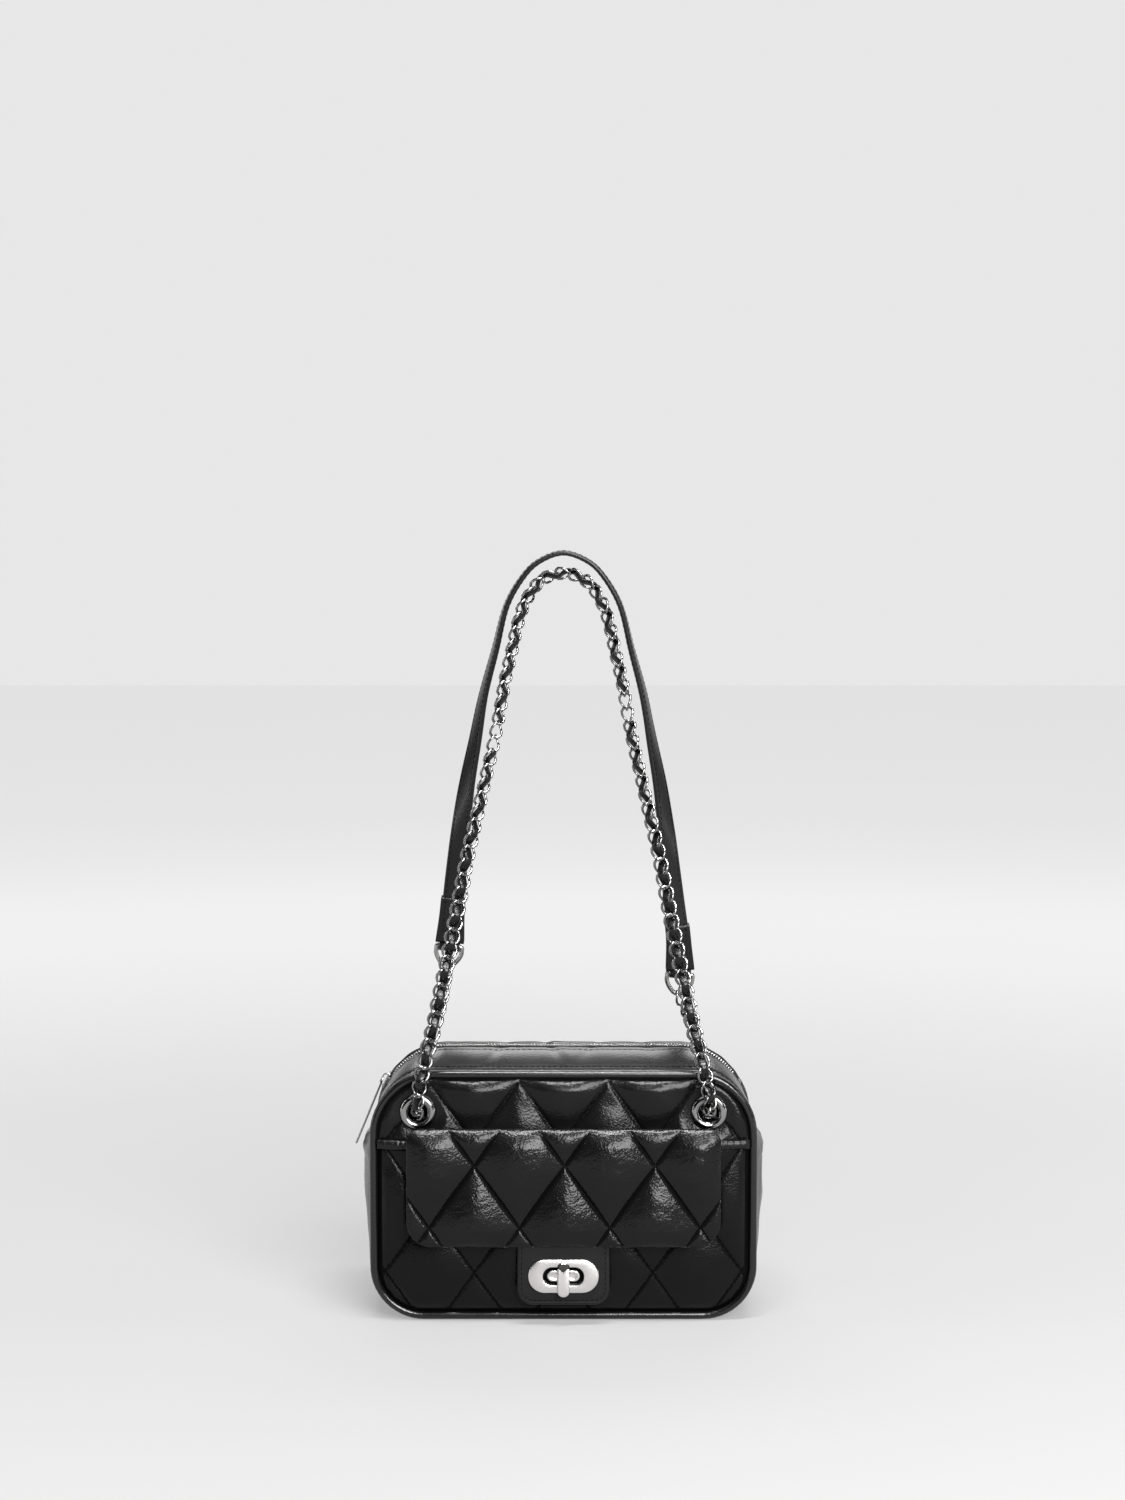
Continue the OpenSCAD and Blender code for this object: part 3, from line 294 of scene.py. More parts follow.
def put_on(piece, body, slot, *nodes):
    """Fix a piece to its body; it takes the place of the CAD nodes that are named."""
    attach(piece, body)
    if nodes:
        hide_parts(*nodes)


def half_width(z, shape):
    """Half the width of a flat shape at height z."""
    half, low, high, r_low, r_high = shape
    up = np.clip(z - (high - r_high), 0, r_high)
    down = np.clip((low + r_low) - z, 0, r_low)
    wide = half - (r_high - np.sqrt(np.maximum(r_high**2 - up**2, 0)))
    return wide - (r_low - np.sqrt(np.maximum(r_low**2 - down**2, 0)))


def edge_distance(x, z, shape):
    """Distance in from the edge of a flat shape."""
    half, low, high, r_low, r_high = shape
    middle = (low + high) / 2
    r = np.where(z > middle, r_high, r_low)
    dx = np.abs(x) - (half - r)
    dz = np.abs(z - middle) - ((high - low) / 2 - r)
    outside = np.hypot(np.maximum(dx, 0), np.maximum(dz, 0))
    return r - outside - np.minimum(np.maximum(dx, dz), 0)


def flat_grid(shape, step):
    """Rows and columns of points over a flat shape, closer together near its edges."""
    half, low, high = shape[:3]
    near = np.array([0, 0.25, 0.6, 1.05, 1.6, 2.3])

    def spaced(a, b):
        count = int(round((b - a - 2 * near[-1]) / step))
        inside = np.linspace(a + near[-1], b - near[-1], count)
        return np.concatenate([a + near[:-1], inside, b - near[-2::-1]])

    heights = spaced(low, high)
    columns = spaced(-half, half) / half
    z = np.repeat(heights[:, None], len(columns), 1)
    return half_width(z, shape) * columns[None, :], z


def seam_distances(x, z, seams):
    """Distances to the nearest line of each of the two slanting sets of seams."""
    x0, z0, wide, tall = seams
    span = wide * tall / math.hypot(wide, tall)
    u = (x - x0) / wide + (z - z0) / tall
    v = (x - x0) / wide - (z - z0) / tall
    return np.abs(u - np.round(u)) * span, np.abs(v - np.round(v)) * span


def quilted(x, z, seams):
    """Lift of the leather, 0 on the stitch lines and 1 in the middle of a diamond."""
    first, second = seam_distances(x, z, seams)
    wide, tall = seams[2:]
    reach = wide * tall / math.hypot(wide, tall) / 2
    rise = [np.sin(share(d / reach) * math.pi / 2) for d in (first, second)]
    near, along = np.minimum(first, second), z * math.hypot(1, wide / tall)
    waves = np.sin(along * 1.7 + 2.1 * np.sin(x * 0.13))
    pucker = 0.014 * waves * np.exp(-near / 2.2) * share(near / 1.2)
    return (rise[0] * rise[1]) ** 0.75 + pucker - 0.24 * hump(near, 0.75)


def ripple(a, b, seed, size):
    """Small uneven waves, the same on every run."""
    total = np.zeros(np.broadcast(a, b).shape)
    spin = np.random.default_rng(seed)
    for wave in range(7):
        turn, phase = spin.uniform(0, 6.28), spin.uniform(0, 6.28)
        rate = spin.uniform(0.6, 1.7) / size
        total += np.sin((a * math.cos(turn) + b * math.sin(turn)) * rate * 6.28 + phase)
    return total / 4.5


def filled_out(face, side, shape, seams, loose, fine_x, fine_z):
    """How far the wadding pushes each point of a face, from a cloth run on a coarser copy of it.

    The seams, the edge and what isn't loose are pinned, and the push ends softly at the seams."""
    half, coarse, most = shape[0], 2.3, 3.2
    x, z = flat_grid(shape, coarse)
    depth = face(x, z)
    start = xyz(x, side * depth, z)
    back = xyz(x, np.full_like(x, side * (depth.min() - 4)), z)
    copy = new_piece("filling_copy", *skin_mesh(start, back), None)
    near = np.minimum(*seam_distances(x, z, seams))
    inside = edge_distance(x, z, shape)
    tight = (near < 1.3) | (inside < 1.6) | np.logical_not(loose(x, z))
    held = copy.vertex_groups.new(name="sewn")
    held.add(np.flatnonzero(tight).tolist() + list(range(x.size, 2 * x.size)), 1.0, "REPLACE")
    held.add(np.flatnonzero(~tight).tolist(), 0.0, "REPLACE")
    cloth = copy.modifiers.new("filling", "CLOTH")
    for label, value in (
            ("quality", 7), ("mass", 0.2), ("tension_stiffness", 30), ("compression_stiffness", 12),
            ("shear_stiffness", 8), ("bending_stiffness", 6), ("vertex_group_mass", "sewn"),
            ("shrink_min", -0.008), ("use_pressure", True), ("uniform_pressure_force", 4)):
        setattr(cloth.settings, label, value)
    cloth.settings.effector_weights.gravity = 0
    cloth.collision_settings.use_collision = False
    cloth.point_cache.frame_end = 20
    for step in range(1, 21):
        bpy.context.scene.frame_set(step)
    filled = copy.evaluated_get(bpy.context.evaluated_depsgraph_get())
    spots = np.empty(len(copy.data.vertices) * 3)
    filled.data.vertices.foreach_get("co", spots)
    bpy.context.scene.frame_set(1)
    bpy.data.objects.remove(copy)
    push = spots.reshape(-1, 3)[:x.size].reshape(start.shape) * 1000 - start
    length = np.linalg.norm(push, axis=-1, keepdims=True)
    push *= np.minimum(1, most / np.maximum(length, 1e-9)) * (1 - tight)[..., None]
    for smoothing in range(2):
        push[1:-1] = (push[:-2] + 2 * push[1:-1] + push[2:]) / 4
        push[:, 1:-1] = (push[:, :-2] + 2 * push[:, 1:-1] + push[:, 2:]) / 4
    push *= share(near / 3.0)[..., None]
    columns, fine_columns = (grid[len(grid) // 2] / half for grid in (x, fine_x))
    across = np.stack([[np.interp(fine_columns, columns, row[:, k]) for row in push]
                       for k in range(3)], -1)
    return np.stack([[np.interp(fine_z[:, 0], z[:, 0], across[:, j, k])
                      for j in range(fine_x.shape[1])] for k in range(3)], -1).transpose(1, 0, 2)


def from_eyelet(x, z):
    return np.hypot(np.abs(x) - eyelet_x, z - eyelet_z)


def panel_face(x, z, side):
    """How far a panel's face stands from the bag's middle; behind the pocket it lies flat."""
    inside = edge_distance(x, z, panel_shape)
    bare = share((from_eyelet(x, z) - 9.8) / 6)
    rim = share((inside - 0.8) / 5) ** 0.7
    shown = share((z - 88) / 6) if side < 0 else 1.0
    lift = 3.3 * quilted(x, z, panel_seams) * bare * rim * shown
    dimple = 0.12 * ripple(x, z, 3, 17) * rim * bare
    return panel_edge + 1.5 * (1 - np.exp(-inside / 1.4)) + lift + dimple


def panel_grids(side):
    x, z = flat_grid(panel_shape, 0.8)
    face = lambda a, b: panel_face(a, b, side)
    loose = lambda a, b: (from_eyelet(a, b) > 11) & ((b > 94) | (side > 0))
    outer = xyz(x, side * face(x, z), z)
    outer += filled_out(face, side, panel_shape, panel_seams, loose, x, z)
    inner = xyz(x, np.full_like(x, side * panel_back), z)
    return outer, inner, from_eyelet(middles(x), middles(z)) > 6.3


class Pattern(Nodes):
    """A node tree that repeats one small shape along a path, its sizes as named inputs."""

    def __init__(self, name, sizes):
        super().__init__(bpy.data.node_groups.new(name, "GeometryNodeTree"))
        sockets = self.tree.interface
        sockets.new_socket("Path", in_out="INPUT", socket_type="NodeSocketGeometry")
        sockets.new_socket("Shapes", in_out="OUTPUT", socket_type="NodeSocketGeometry")
        self.sizes = sizes
        self.names = {}
        for label, value in sizes.items():
            kind = "NodeSocketFloat" if isinstance(value, float) else "NodeSocketMaterial"
            self.names[label] = sockets.new_socket(label, in_out="INPUT", socket_type=kind).identifier
        self.start = self.tree.nodes.new("NodeGroupInput")

    def given(self, label):
        return Wire(self, self.start.outputs[label])

    def direction(self, label):
        return self.node("GeometryNodeInputNamedAttribute", {"data_type": "FLOAT_VECTOR"}, {"Name": label})

    def turned_to(self, axis, way, pivot="AUTO", rotation=None):
        values = {"Vector": way}
        if rotation:
            values["Rotation"] = rotation
        return self.node("FunctionNodeAlignRotationToVector", {"axis": axis, "pivot_axis": pivot}, values)

    def finish_with(self, points, shape, turn, label, **more):
        put = self.node("GeometryNodeInstanceOnPoints", None, {
            "Points": points, "Instance": shape, "Rotation": turn, **more})
        solid = self.node("GeometryNodeRealizeInstances", None, {"Geometry": put})
        smooth = self.node("GeometryNodeSetShadeSmooth", None, {"Geometry": solid})
        coated = self.node("GeometryNodeSetMaterial", None, {
            "Geometry": smooth, "Material": self.given(label)})
        self.end("NodeGroupOutput", "Shapes", coated)

    def made_along(self, name, points, edges, ways=None):
        mesh = bpy.data.meshes.new(name + "_path")
        mesh.from_pydata((np.asarray(points) * 0.001).tolist(), [tuple(map(int, e)) for e in edges], [])
        for label, vectors in (ways or {}).items():
            attribute = mesh.attributes.new(label, "FLOAT_VECTOR", "POINT")
            attribute.data.foreach_set("vector", np.ravel(vectors))
        path = put_in_scene(name + "_path", mesh)
        step = path.modifiers.new("pattern", "NODES")
        step.node_group = self.tree
        for label, value in self.sizes.items():
            step[self.names[label]] = value
        laid = path.evaluated_get(bpy.context.evaluated_depsgraph_get())
        made = put_in_scene(name, bpy.data.meshes.new_from_object(laid))
        bpy.data.objects.remove(path)
        return made


def thread_finish():
    f = Finish("black_thread")
    twist = f.node("ShaderNodeTexWave", {"bands_direction": "DIAGONAL"}, {
        "Vector": f.place(), "Scale": 900.0}, "Fac")
    colour = f.blend(twist, grey(0.0012), (0.004, 0.004, 0.0045, 1))
    return f.done({"Base Color": colour, "Roughness": 0.85, "Specular IOR Level": 0.02,
                   "Normal": f.bump(twist, 0.0001)})


black_thread = thread_finish()


def stitching(name, pitch, length, thick):
    """Stitches of one size in black thread, laid along seams."""
    p = Pattern(name, {"Stitch pitch": pitch * 0.001, "Stitch length": length * 0.001,
                       "Thread width": thick * 0.001, "Thread": black_thread})
    seam = p.node("GeometryNodeMeshToCurve", None, {"Mesh": p.given("Path")})
    spots = p.node("GeometryNodeCurveToPoints", {"mode": "LENGTH"}, {
        "Curve": seam, "Length": p.given("Stitch pitch")})
    along = Wire(p, spots.socket.node.outputs["Tangent"])
    ball = p.node("GeometryNodeMeshUVSphere", None, {"Segments": 6, "Rings": 4, "Radius": 0.5})
    sizes = p.node("ShaderNodeCombineXYZ", None, {
        0: p.given("Stitch length"), 1: p.given("Thread width"), 2: p.given("Thread width")})
    p.finish_with(spots, ball, p.turned_to("X", along), "Thread", Scale=sizes)
    return p


def sew(stitches, name, body, lines, kept=None):
    """Stitches along polylines, left out at the points that aren't kept."""
    points, edges = [], []
    for line, keep in zip(lines, kept or [np.ones(len(line), bool) for line in lines]):
        last = False
        for spot, on in zip(line, keep):
            if on:
                if last:
                    edges.append((len(points) - 1, len(points)))
                points.append(spot)
            last = bool(on)
    put_on(stitches.made_along(name, points, edges), body, "leather")


def quilt_lines(seams, half, low, high, face, keep):
    """The slanting seams over a panel, on its face."""
    x0, z0, wide, tall = seams
    lines, kept = [], []
    z = np.arange(low, high, 1.5)
    for slant in (1, -1):
        for k in range(-8, 9):
            x = x0 + (k - slant * (z - z0) / tall) * wide
            lines.append(xyz(x, face(x, z), z))
            kept.append((np.abs(x) < half) & keep(x, z))
    return lines, kept


def darken(piece, finish, where):
    """Give some faces of a piece a second, darker finish, which paints shade on them."""
    centres = np.empty(3 * len(piece.data.polygons))
    piece.data.polygons.foreach_get("center", centres)
    x, y, z = 1000 * centres.reshape(-1, 3).T
    piece.data.materials.append(finish)
    piece.data.polygons.foreach_set("material_index", where(x, y, z).astype(np.int32))


def on_seam(x, z, seams, width):
    return np.minimum(*seam_distances(x, z, seams)) < width / 2


black_leather = leather("quilted_leather", shine=0.17)
# Near-black matte leather for the faces along the seams: painted shade in the creases.
crease_shade_leather = leather("creased_leather", 0.6, 0.7, 0.5, shade=0.0012, coat=0, shine=0.03)
quilting_thread = stitching("quilting_stitch", 3.1, 2.2, 0.6)
for name, side, nodes in (("front_quilting", -1, ("front_panel", "front_wadding")),
                          ("back_quilting", 1, ("back_panel", "back_wadding"))):
    panel = new_piece(name, *skin_mesh(*panel_grids(side)), black_leather)
    # Painted shade: faces along the panels' seams get the near-black leather.
    darken(panel, crease_shade_leather, lambda x, y, z: (
        on_seam(x, z, panel_seams, 1.25) & (np.abs(y) > 29.6)
        & (edge_distance(x, z, panel_shape) > 1) & (from_eyelet(x, z) > 9.5)))
    put_on(panel, "bag", "leather", *nodes)
    sew(quilting_thread, name + "_stitches", "bag", *quilt_lines(
        panel_seams, 95, 5, 126, lambda x, z: side * (panel_face(x, z, side) + 0.05),
        lambda x, z: ((edge_distance(x, z, panel_shape) > 2) & (from_eyelet(x, z) > 10)
                      & ((z > 97) | (side > 0)))))


# Piping. A cord in a strip of leather is sewn into the seam round each panel.
# The strip gathers a little round the corners.
def run_lengths(points):
    """Length of a line at each of its points."""
    return np.concatenate([[0], np.cumsum(np.linalg.norm(np.diff(points, axis=0), axis=1))])


def outline_path(half, low, high, r_low, r_high, step):
    """Points and outward directions round a flat shape, and the length at each."""
    spots = []
    for cx, cz, r, a0 in ((half - r_high, high - r_high, r_high, 0),
                          (r_high - half, high - r_high, r_high, 90),
                          (r_low - half, low + r_low, r_low, 180),
                          (half - r_low, low + r_low, r_low, 270)):
        for a in np.radians(np.linspace(a0, a0 + 90, 33)):
            spots.append((cx + r * math.cos(a), cz + r * math.sin(a), math.cos(a), math.sin(a)))
    spots = np.array(spots + spots[:1])
    run = run_lengths(spots[:, :2])
    at = np.linspace(0, run[-1], int(run[-1] / step), endpoint=False)
    return at, np.stack([np.interp(at, run, spots[:, k]) for k in range(4)], -1)


def loft_mesh(rings, path_closed=False):
    """Faces of a body lofted through closed rings of points; open ends are capped."""
    m, n = rings.shape[:2]
    faces = []
    for i in range(m if path_closed else m - 1):
        for j in range(n):
            a, b = i * n + j, i * n + (j + 1) % n
            faces.append((a, b, (b + n) % (m * n), (a + n) % (m * n)))
    if not path_closed:
        faces += [tuple(range(n - 1, -1, -1)), tuple(range((m - 1) * n, m * n))]
    return rings.reshape(-1, 3), faces


def piping_rings(side):
    at, spots = outline_path(97.9, 2.4, 128.7, 25.9, 31.9, 1.2)
    bend = (np.abs(spots[:, 2]) > 0.02) & (np.abs(spots[:, 3]) > 0.02)
    turns = full_turn(18)
    waves = np.sin(at * 2.1)[:, None] + ripple(at[:, None], turns * 6, 5, 9)
    r = 2.1 + np.where(bend, 0.05, 0.015)[:, None] * waves
    out = r * np.cos(turns)
    return xyz(spots[:, :1] + spots[:, 2:3] * out, side * 28.95 + r * np.sin(turns),
               spots[:, 1:2] + spots[:, 3:4] * out)


piping_leather = leather("piping_leather", 0.15, 0.7, 0.4, shine=0.45)
for name, side, node in (("front_piping_cord", -1, "front_piping"),
                         ("rear_piping_cord", 1, "rear_piping")):
    cord = new_piece(name, *loft_mesh(piping_rings(side), path_closed=True), piping_leather)
    put_on(cord, "bag", "leather", node)


# Gusset. One strip runs down the sides and under the bag, and two run over the top with the zip
# between them; they are joined in a cross seam at each side. The leather swells between the panels.
zip_arc_x, zip_arc_z, zip_arc_r = 60, 102.5, 36.5
edge_arc_x, edge_arc_z, edge_arc_r = 66, 96.8, 33.4
gusset_half = 26.7


def with_right_side(left):
    """A line's left half, from its end to the middle, and the same mirrored."""
    return np.concatenate([left, left[-2::-1] * np.array([-1, 1, -1, 1, -1, 1])])


def upper_line():
    """Edge point, middle point and outward direction along the strips over the top."""
    rows = [(-99.4, 96.2, -98.0, 96.2, -1, 0)]
    for a in np.radians(np.linspace(90, 0, 46)):
        c, s = math.cos(a), math.sin(a)
        rows.append((-edge_arc_x - edge_arc_r * s, edge_arc_z + edge_arc_r * c,
                     -zip_arc_x - zip_arc_r * s, zip_arc_z + zip_arc_r * c, -s, c))
    rows = np.array(rows)
    flat = [(-edge_arc_x * q, edge_arc_z + edge_arc_r, -zip_arc_x * q, zip_arc_z + zip_arc_r, 0, 1)
            for q in np.linspace(0.975, 0, 40)]
    return with_right_side(np.concatenate([
        rows[:1], rows[:1] * 0.5 + rows[1:2] * 0.5, rows[1:], flat]))


def lower_line():
    """The same along the strip under the bag."""
    down = np.linspace(0, 1, 49)
    swell = 5.3 * np.interp(down, [0, 0.05, 0.11, 0.17, 0.5, 0.8, 1],
                            [0.16, 0.62, 0.93, 1, 0.95, 0.6, 0.4])
    swell[1:-1] = (swell[:-2] + swell[1:-1] * 2 + swell[2:]) / 4
    rows = [(-99.4, h, -99.4 - b, h, -1, 0) for h, b in zip(96 - down * 68.6, swell)]
    corner_r = 27.4
    for q in np.linspace(1 / 24, 1, 24):
        c, s = math.cos(math.pi / 2 * q), math.sin(math.pi / 2 * q)
        r = corner_r + 2.12 * (1 - q) ** 1.5
        rows.append((-72 - corner_r * c, corner_r - corner_r * s, -72 - r * c, corner_r - r * s, -c, -s))
    rows += [(x, 0, x, 0, 0, -1) for x in np.linspace(-69, 0, 24)]
    return with_right_side(np.array(rows))


def gusset_grids(line, y, thick, folds):
    """Outer and inner points of a strip whose middle stands proud of its edges."""
    run = run_lengths(line[:, 2:4])
    full = (1 - (y[None, :] / gusset_half) ** 2)[..., None]
    base = line[:, None, 0:2] + (line[:, 2:4] - line[:, 0:2])[:, None, :] * full
    lift = folds(run[:, None], y[None, :], run[-1])[..., None]
    deep = np.repeat(y[None, :], len(line), 0)
    grids = []
    for rise in (lift, np.minimum(lift, 0) - thick):
        spots = base + line[:, None, 4:6] * rise
        grids.append(xyz(spots[..., 0], deep, spots[..., 1]))
    return grids


def lower_folds(s, y, total):
    """The cross seam pinches the strip, and it puckers and hangs a little slack below it."""
    end = np.minimum(s, total - s)
    pinch = -1.5 * hump(end, 2.0) + 0.9 * hump(end - 4.6 - 0.05 * y, 2.0)
    pull = 0.55 * hump(end - 10 + 0.12 * y, 3.2) - 0.5 * hump(end - 14.5, 3.0)
    slack = 0.55 * ripple(s * 0.4, y, 11, 15) * share((120 - end) / 40)
    return (pinch * 0.8 + pull + slack) * (1 - (y / gusset_half) ** 2)


def upper_folds(s, y, total):
    """The strips pull across here and there, turn under at the zip and sink in at their seams."""
    end = np.minimum(s, total - s)
    pinch = -1.3 * hump(end, 2.2) + 0.5 * hump(end - 5.0, 2.4)
    sides = 0.5 * ripple(s, y * 0.5, 21, 16) * np.clip(1 - end / 70, 0.15, 1)
    pulls = sum(h * hump(s - total / 2 - c - t * y, w)
                for h, c, t, w in ((-0.5, -31, 0.3, 3), (-0.55, -8, -0.35, 2.4), (0.3, -3, -0.3, 3),
                                   (-0.4, 17, 0.45, 2.6), (-0.45, 42, -0.3, 3.2)))
    aside = np.abs(y)
    turned = np.where(y < 0, -1.1, 0.8) * np.exp(-((aside - 4.0) / 0.9)) * (aside < 8)
    seam = -0.35 * hump(aside - 8.6, 0.7) - 0.35 * hump(aside - 23.8, 0.7)
    return (pinch + sides + pulls) * (1 - (y / gusset_half) ** 2) + turned + seam


gusset_leather = leather("gusset_leather", 0.25, 0.85, 0.8, shine=0.4)
strip_y = np.concatenate([np.linspace(4.0, 6.0, 6), np.linspace(6.6, 26.9, 26)])
for name, line, y, thick, folds, node in (
        ("lower_gusset_skin", lower_line(), np.linspace(-26.9, 26.9, 47), 1.4, lower_folds, "lower_gusset"),
        ("zip_gusset_front_skin", upper_line(), -strip_y, 1.5, upper_folds, "zip_gusset_front"),
        ("zip_gusset_rear_skin", upper_line(), strip_y, 1.5, upper_folds, "zip_gusset_rear")):
    strip = new_piece(name, *skin_mesh(*gusset_grids(line, y, thick, folds)), gusset_leather)
    put_on(strip, "bag", "leather", node)
raised = lambda s, y, total: upper_folds(s, y, total) + 0.1
sew(stitching("gusset_stitch", 2.9, 2.1, 0.42), "gusset_stitches", "bag",
    [gusset_grids(upper_line(), np.array([y]), 0, raised)[0][2:-2, 0] for y in (-23.8, -8.6, 8.6, 23.8)])


# Lining and base board. A bag of woven cloth hangs inside, sewn in along the zip's tapes and left
# open round the eyelets. A stiff board of pressed fibre lies under it on the floor.
def woven(name, dark, light, scale, rough):
    f = Finish(name)
    spot = f.place()
    warp, weft, twill = (
        f.node("ShaderNodeTexWave", {"bands_direction": way}, {"Vector": spot, "Scale": size}, "Fac")
        for way, size in (("X", scale), ("Z", scale), ("DIAGONAL", scale * 0.6)))
    threads = warp * 0.4 + weft * 0.4 + twill * 0.3
    return f.done({"Base Color": f.blend(threads, dark, light), "Roughness": rough,
                   "Specular IOR Level": 0.2, "Normal": f.bump(threads, 0.0001)})


lining_cloth = woven("lining_cloth", (0.02, 0.02, 0.022, 1), (0.045, 0.045, 0.048, 1), 700.0, 0.8)


def lining_wall(side):
    shape = (93.6, 6.7, 124.4, 21.6, 27.6)
    x, z = flat_grid(shape, 3.0)
    inside = edge_distance(x, z, shape)
    y = 26.2 - 1.4 * np.exp(-inside / 2) - 0.25 * np.abs(ripple(x, z, 31, 30)) * share(inside / 8)
    return xyz(x, side * y, z), xyz(x, side * (y - 0.6), z), from_eyelet(middles(x), middles(z)) > 8.5


def lining_band():
    """The band between the walls, open along the top where the zip is."""
    spots = outline_path(93.4, 6.9, 124.2, 21.4, 27.4, 2.5)[1]
    start = np.argmin(np.abs(spots[:, 0] + 60) + np.abs(spots[:, 1] - 124.2))
    spots = np.roll(spots, -start, 0)
    spots = spots[spots[:, 1] < 124.1]
    y = np.linspace(-25.2, 25.2, 24)
    sink = 0.5 * np.abs(ripple(np.arange(len(spots))[:, None] * 2.5, y[None, :], 33, 30))
    return [xyz(spots[:, :1] - spots[:, 2:3] * (d + sink), y[None, :] + 0 * sink,
                spots[:, 1:2] - spots[:, 3:4] * (d + sink)) for d in (0, 0.6)]


def joined(parts):
    """Several closed bodies in one mesh."""
    points, faces, base = [], [], 0
    for spots, sides in parts:
        points.append(np.asarray(spots, float))
        faces += [tuple(i + base for i in f) for f in sides]
        base += len(spots)
    return np.concatenate(points), faces


lining_bag = new_piece("lining_bag", *joined([
    skin_mesh(*grids) for grids in (lining_wall(-1), lining_wall(1), lining_band())]), lining_cloth)
put_on(lining_bag, "bag", "lining", "lining")


def board_finish():
    f = Finish("grey_board")
    fibre = f.noise(700, 4.0)
    return f.done({"Base Color": f.blend(fibre, (0.16, 0.12, 0.08, 1), (0.30, 0.24, 0.17, 1)),
                   "Roughness": 0.85, "Normal": f.bump(fibre, 0.0002)})


def recoat(node, finish):
    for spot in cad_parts[node].material_slots:
        spot.material = finish


recoat("base_board", board_finish())


# Zip. Two woven tapes lie under the strips' turned edges, each with a row of small silver teeth
# clamped on its edge. A stop closes each end.
def silver(name, shade=0.34, rough=0.11, warm=0.0, scratch=1.0):
    """Silvery metal with faint smudges and fine marks."""
    f = Finish(name)
    smudge = f.noise(120, 3.0)
    marks = f.noise(2600)
    clean = (shade, shade * (0.99 - warm), shade * (0.98 - 1.6 * warm), 1)
    smudged = (shade * 0.92, shade * (0.91 - warm), shade * (0.91 - 1.6 * warm), 1)
    return f.done({"Base Color": f.blend(smudge, smudged, clean), "Metallic": 1.0,
                   "Roughness": rough + 0.07 * smudge + 0.02 * marks,
                   "Normal": f.bump(marks + smudge, 0.00003 * scratch)})


def zip_line(step, first_at):
    """Points along the zip's line, their directions along and up."""
    end = zip_arc_x + zip_arc_r * math.radians(54)
    s = np.arange(-end + first_at, end, step)
    a = np.sign(s) * np.clip((np.abs(s) - zip_arc_x) / zip_arc_r, 0, None)
    x = np.clip(s, -zip_arc_x, zip_arc_x) + zip_arc_r * np.sin(a)
    line = xyz(x, 0 * a, zip_arc_z + zip_arc_r * np.cos(a))
    return line, xyz(np.cos(a), 0 * a, -np.sin(a)), xyz(np.sin(a), 0 * a, np.cos(a))


tape_cloth = woven("tape_cloth", (0.010, 0.010, 0.011, 1), (0.03, 0.03, 0.032, 1), 900.0, 0.75)
polished = silver("polished_silver")
tooth_silver = silver("tooth_silver", 0.5, 0.2)
tooth_pitch = 1.5
teeth = Pattern("zip_teeth", {"Tooth length": 0.0009, "Tooth reach": 0.0023,
                              "Tooth height": 0.0016, "Metal": tooth_silver})
tooth_size = teeth.node("ShaderNodeCombineXYZ", None, {
    0: teeth.given("Tooth length"), 1: teeth.given("Tooth reach"), 2: teeth.given("Tooth height")})
block = teeth.node("GeometryNodeMeshCube", None, {"Size": (1, 1, 1)})
rounded = teeth.node("GeometryNodeSubdivisionSurface", None, {"Mesh": block, "Level": 1})
tooth = teeth.node("GeometryNodeTransform", None, {"Geometry": rounded, "Scale": tooth_size})
first_turn = teeth.turned_to("X", teeth.direction("along"))
turn = teeth.turned_to("Z", teeth.direction("upward"), "X", first_turn)
teeth.finish_with(teeth.given("Path"), tooth, turn, "Metal")
for name, side in (("zip_tape_front", -1), ("zip_tape_rear", 1)):
    y = side * np.linspace(2.7, 11, 8)
    tape = gusset_grids(upper_line()[3:-3], y, 0.6, lambda s, w, total: -1.75 - 0 * s * w)
    put_on(new_piece(name + "_cloth", *skin_mesh(*tape), tape_cloth), "bag", "tape", name)
for name, side, first_at in (("zip_teeth_front", -1, 0.4), ("zip_teeth_rear", 1, 1.15)):
    line, way, up = zip_line(tooth_pitch, first_at)
    teeth_at = line + np.array([0, side * 1.45, 0]) - up * 0.55
    row = teeth.made_along(name + "_row", teeth_at, [], {"along": way, "upward": up})
    put_on(row, "bag", "silver", name)
recoat("zip_stops", polished)


# Slider and pull. The slider's two plates ride over and under the teeth, and a bridge on top holds
# the long slim pull, a wire-like frame that hangs down the left side.
def local_frame(middle, across, along, out):
    """Sets points that are given in a piece's own directions into the bag's."""
    spread = np.array([across, along, out], float)
    return lambda p: np.asarray(middle) + np.asarray(p, float) @ spread


def unit(v):
    return v / np.linalg.norm(v, axis=-1, keepdims=True)


def squared(c, power):
    """Flattens the sides of a round section."""
    return np.sign(c) * np.abs(c) ** power


def slab_mesh(outline, low, high):
    """A plate with a given outline; its sides are straight."""
    n = len(outline)
    points = [(a, b, low) for a, b in outline] + [(a, b, high) for a, b in outline]
    faces = [tuple(range(n - 1, -1, -1)), tuple(range(n, 2 * n))]
    faces += [(i, (i + 1) % n, (i + 1) % n + n, i + n) for i in range(n)]
    return np.array(points), faces


def round_outline(points, r):
    """A closed outline with its corners rounded."""
    out = []
    for k in range(len(points)):
        a, b, c = (np.array(points[(k + d) % len(points)], float) for d in (-1, 0, 1))
        for t in np.linspace(0, 1, 5):
            out.append(tuple(b + unit(a - b) * r * (1 - t) ** 2 + unit(c - b) * r * t**2))
    return out


def round_bar(a, b, r):
    """A round bar from one point to another."""
    a, b = np.array(a, float), np.array(b, float)
    t = unit(b - a)
    u = unit(np.cross(t, (0.3, 0.9, 0.1)))
    turns = full_turn(12)[:, None]
    ring = r * (np.cos(turns) * u + np.sin(turns) * np.cross(t, u))
    return loft_mesh(np.stack([a + ring, b + ring]))


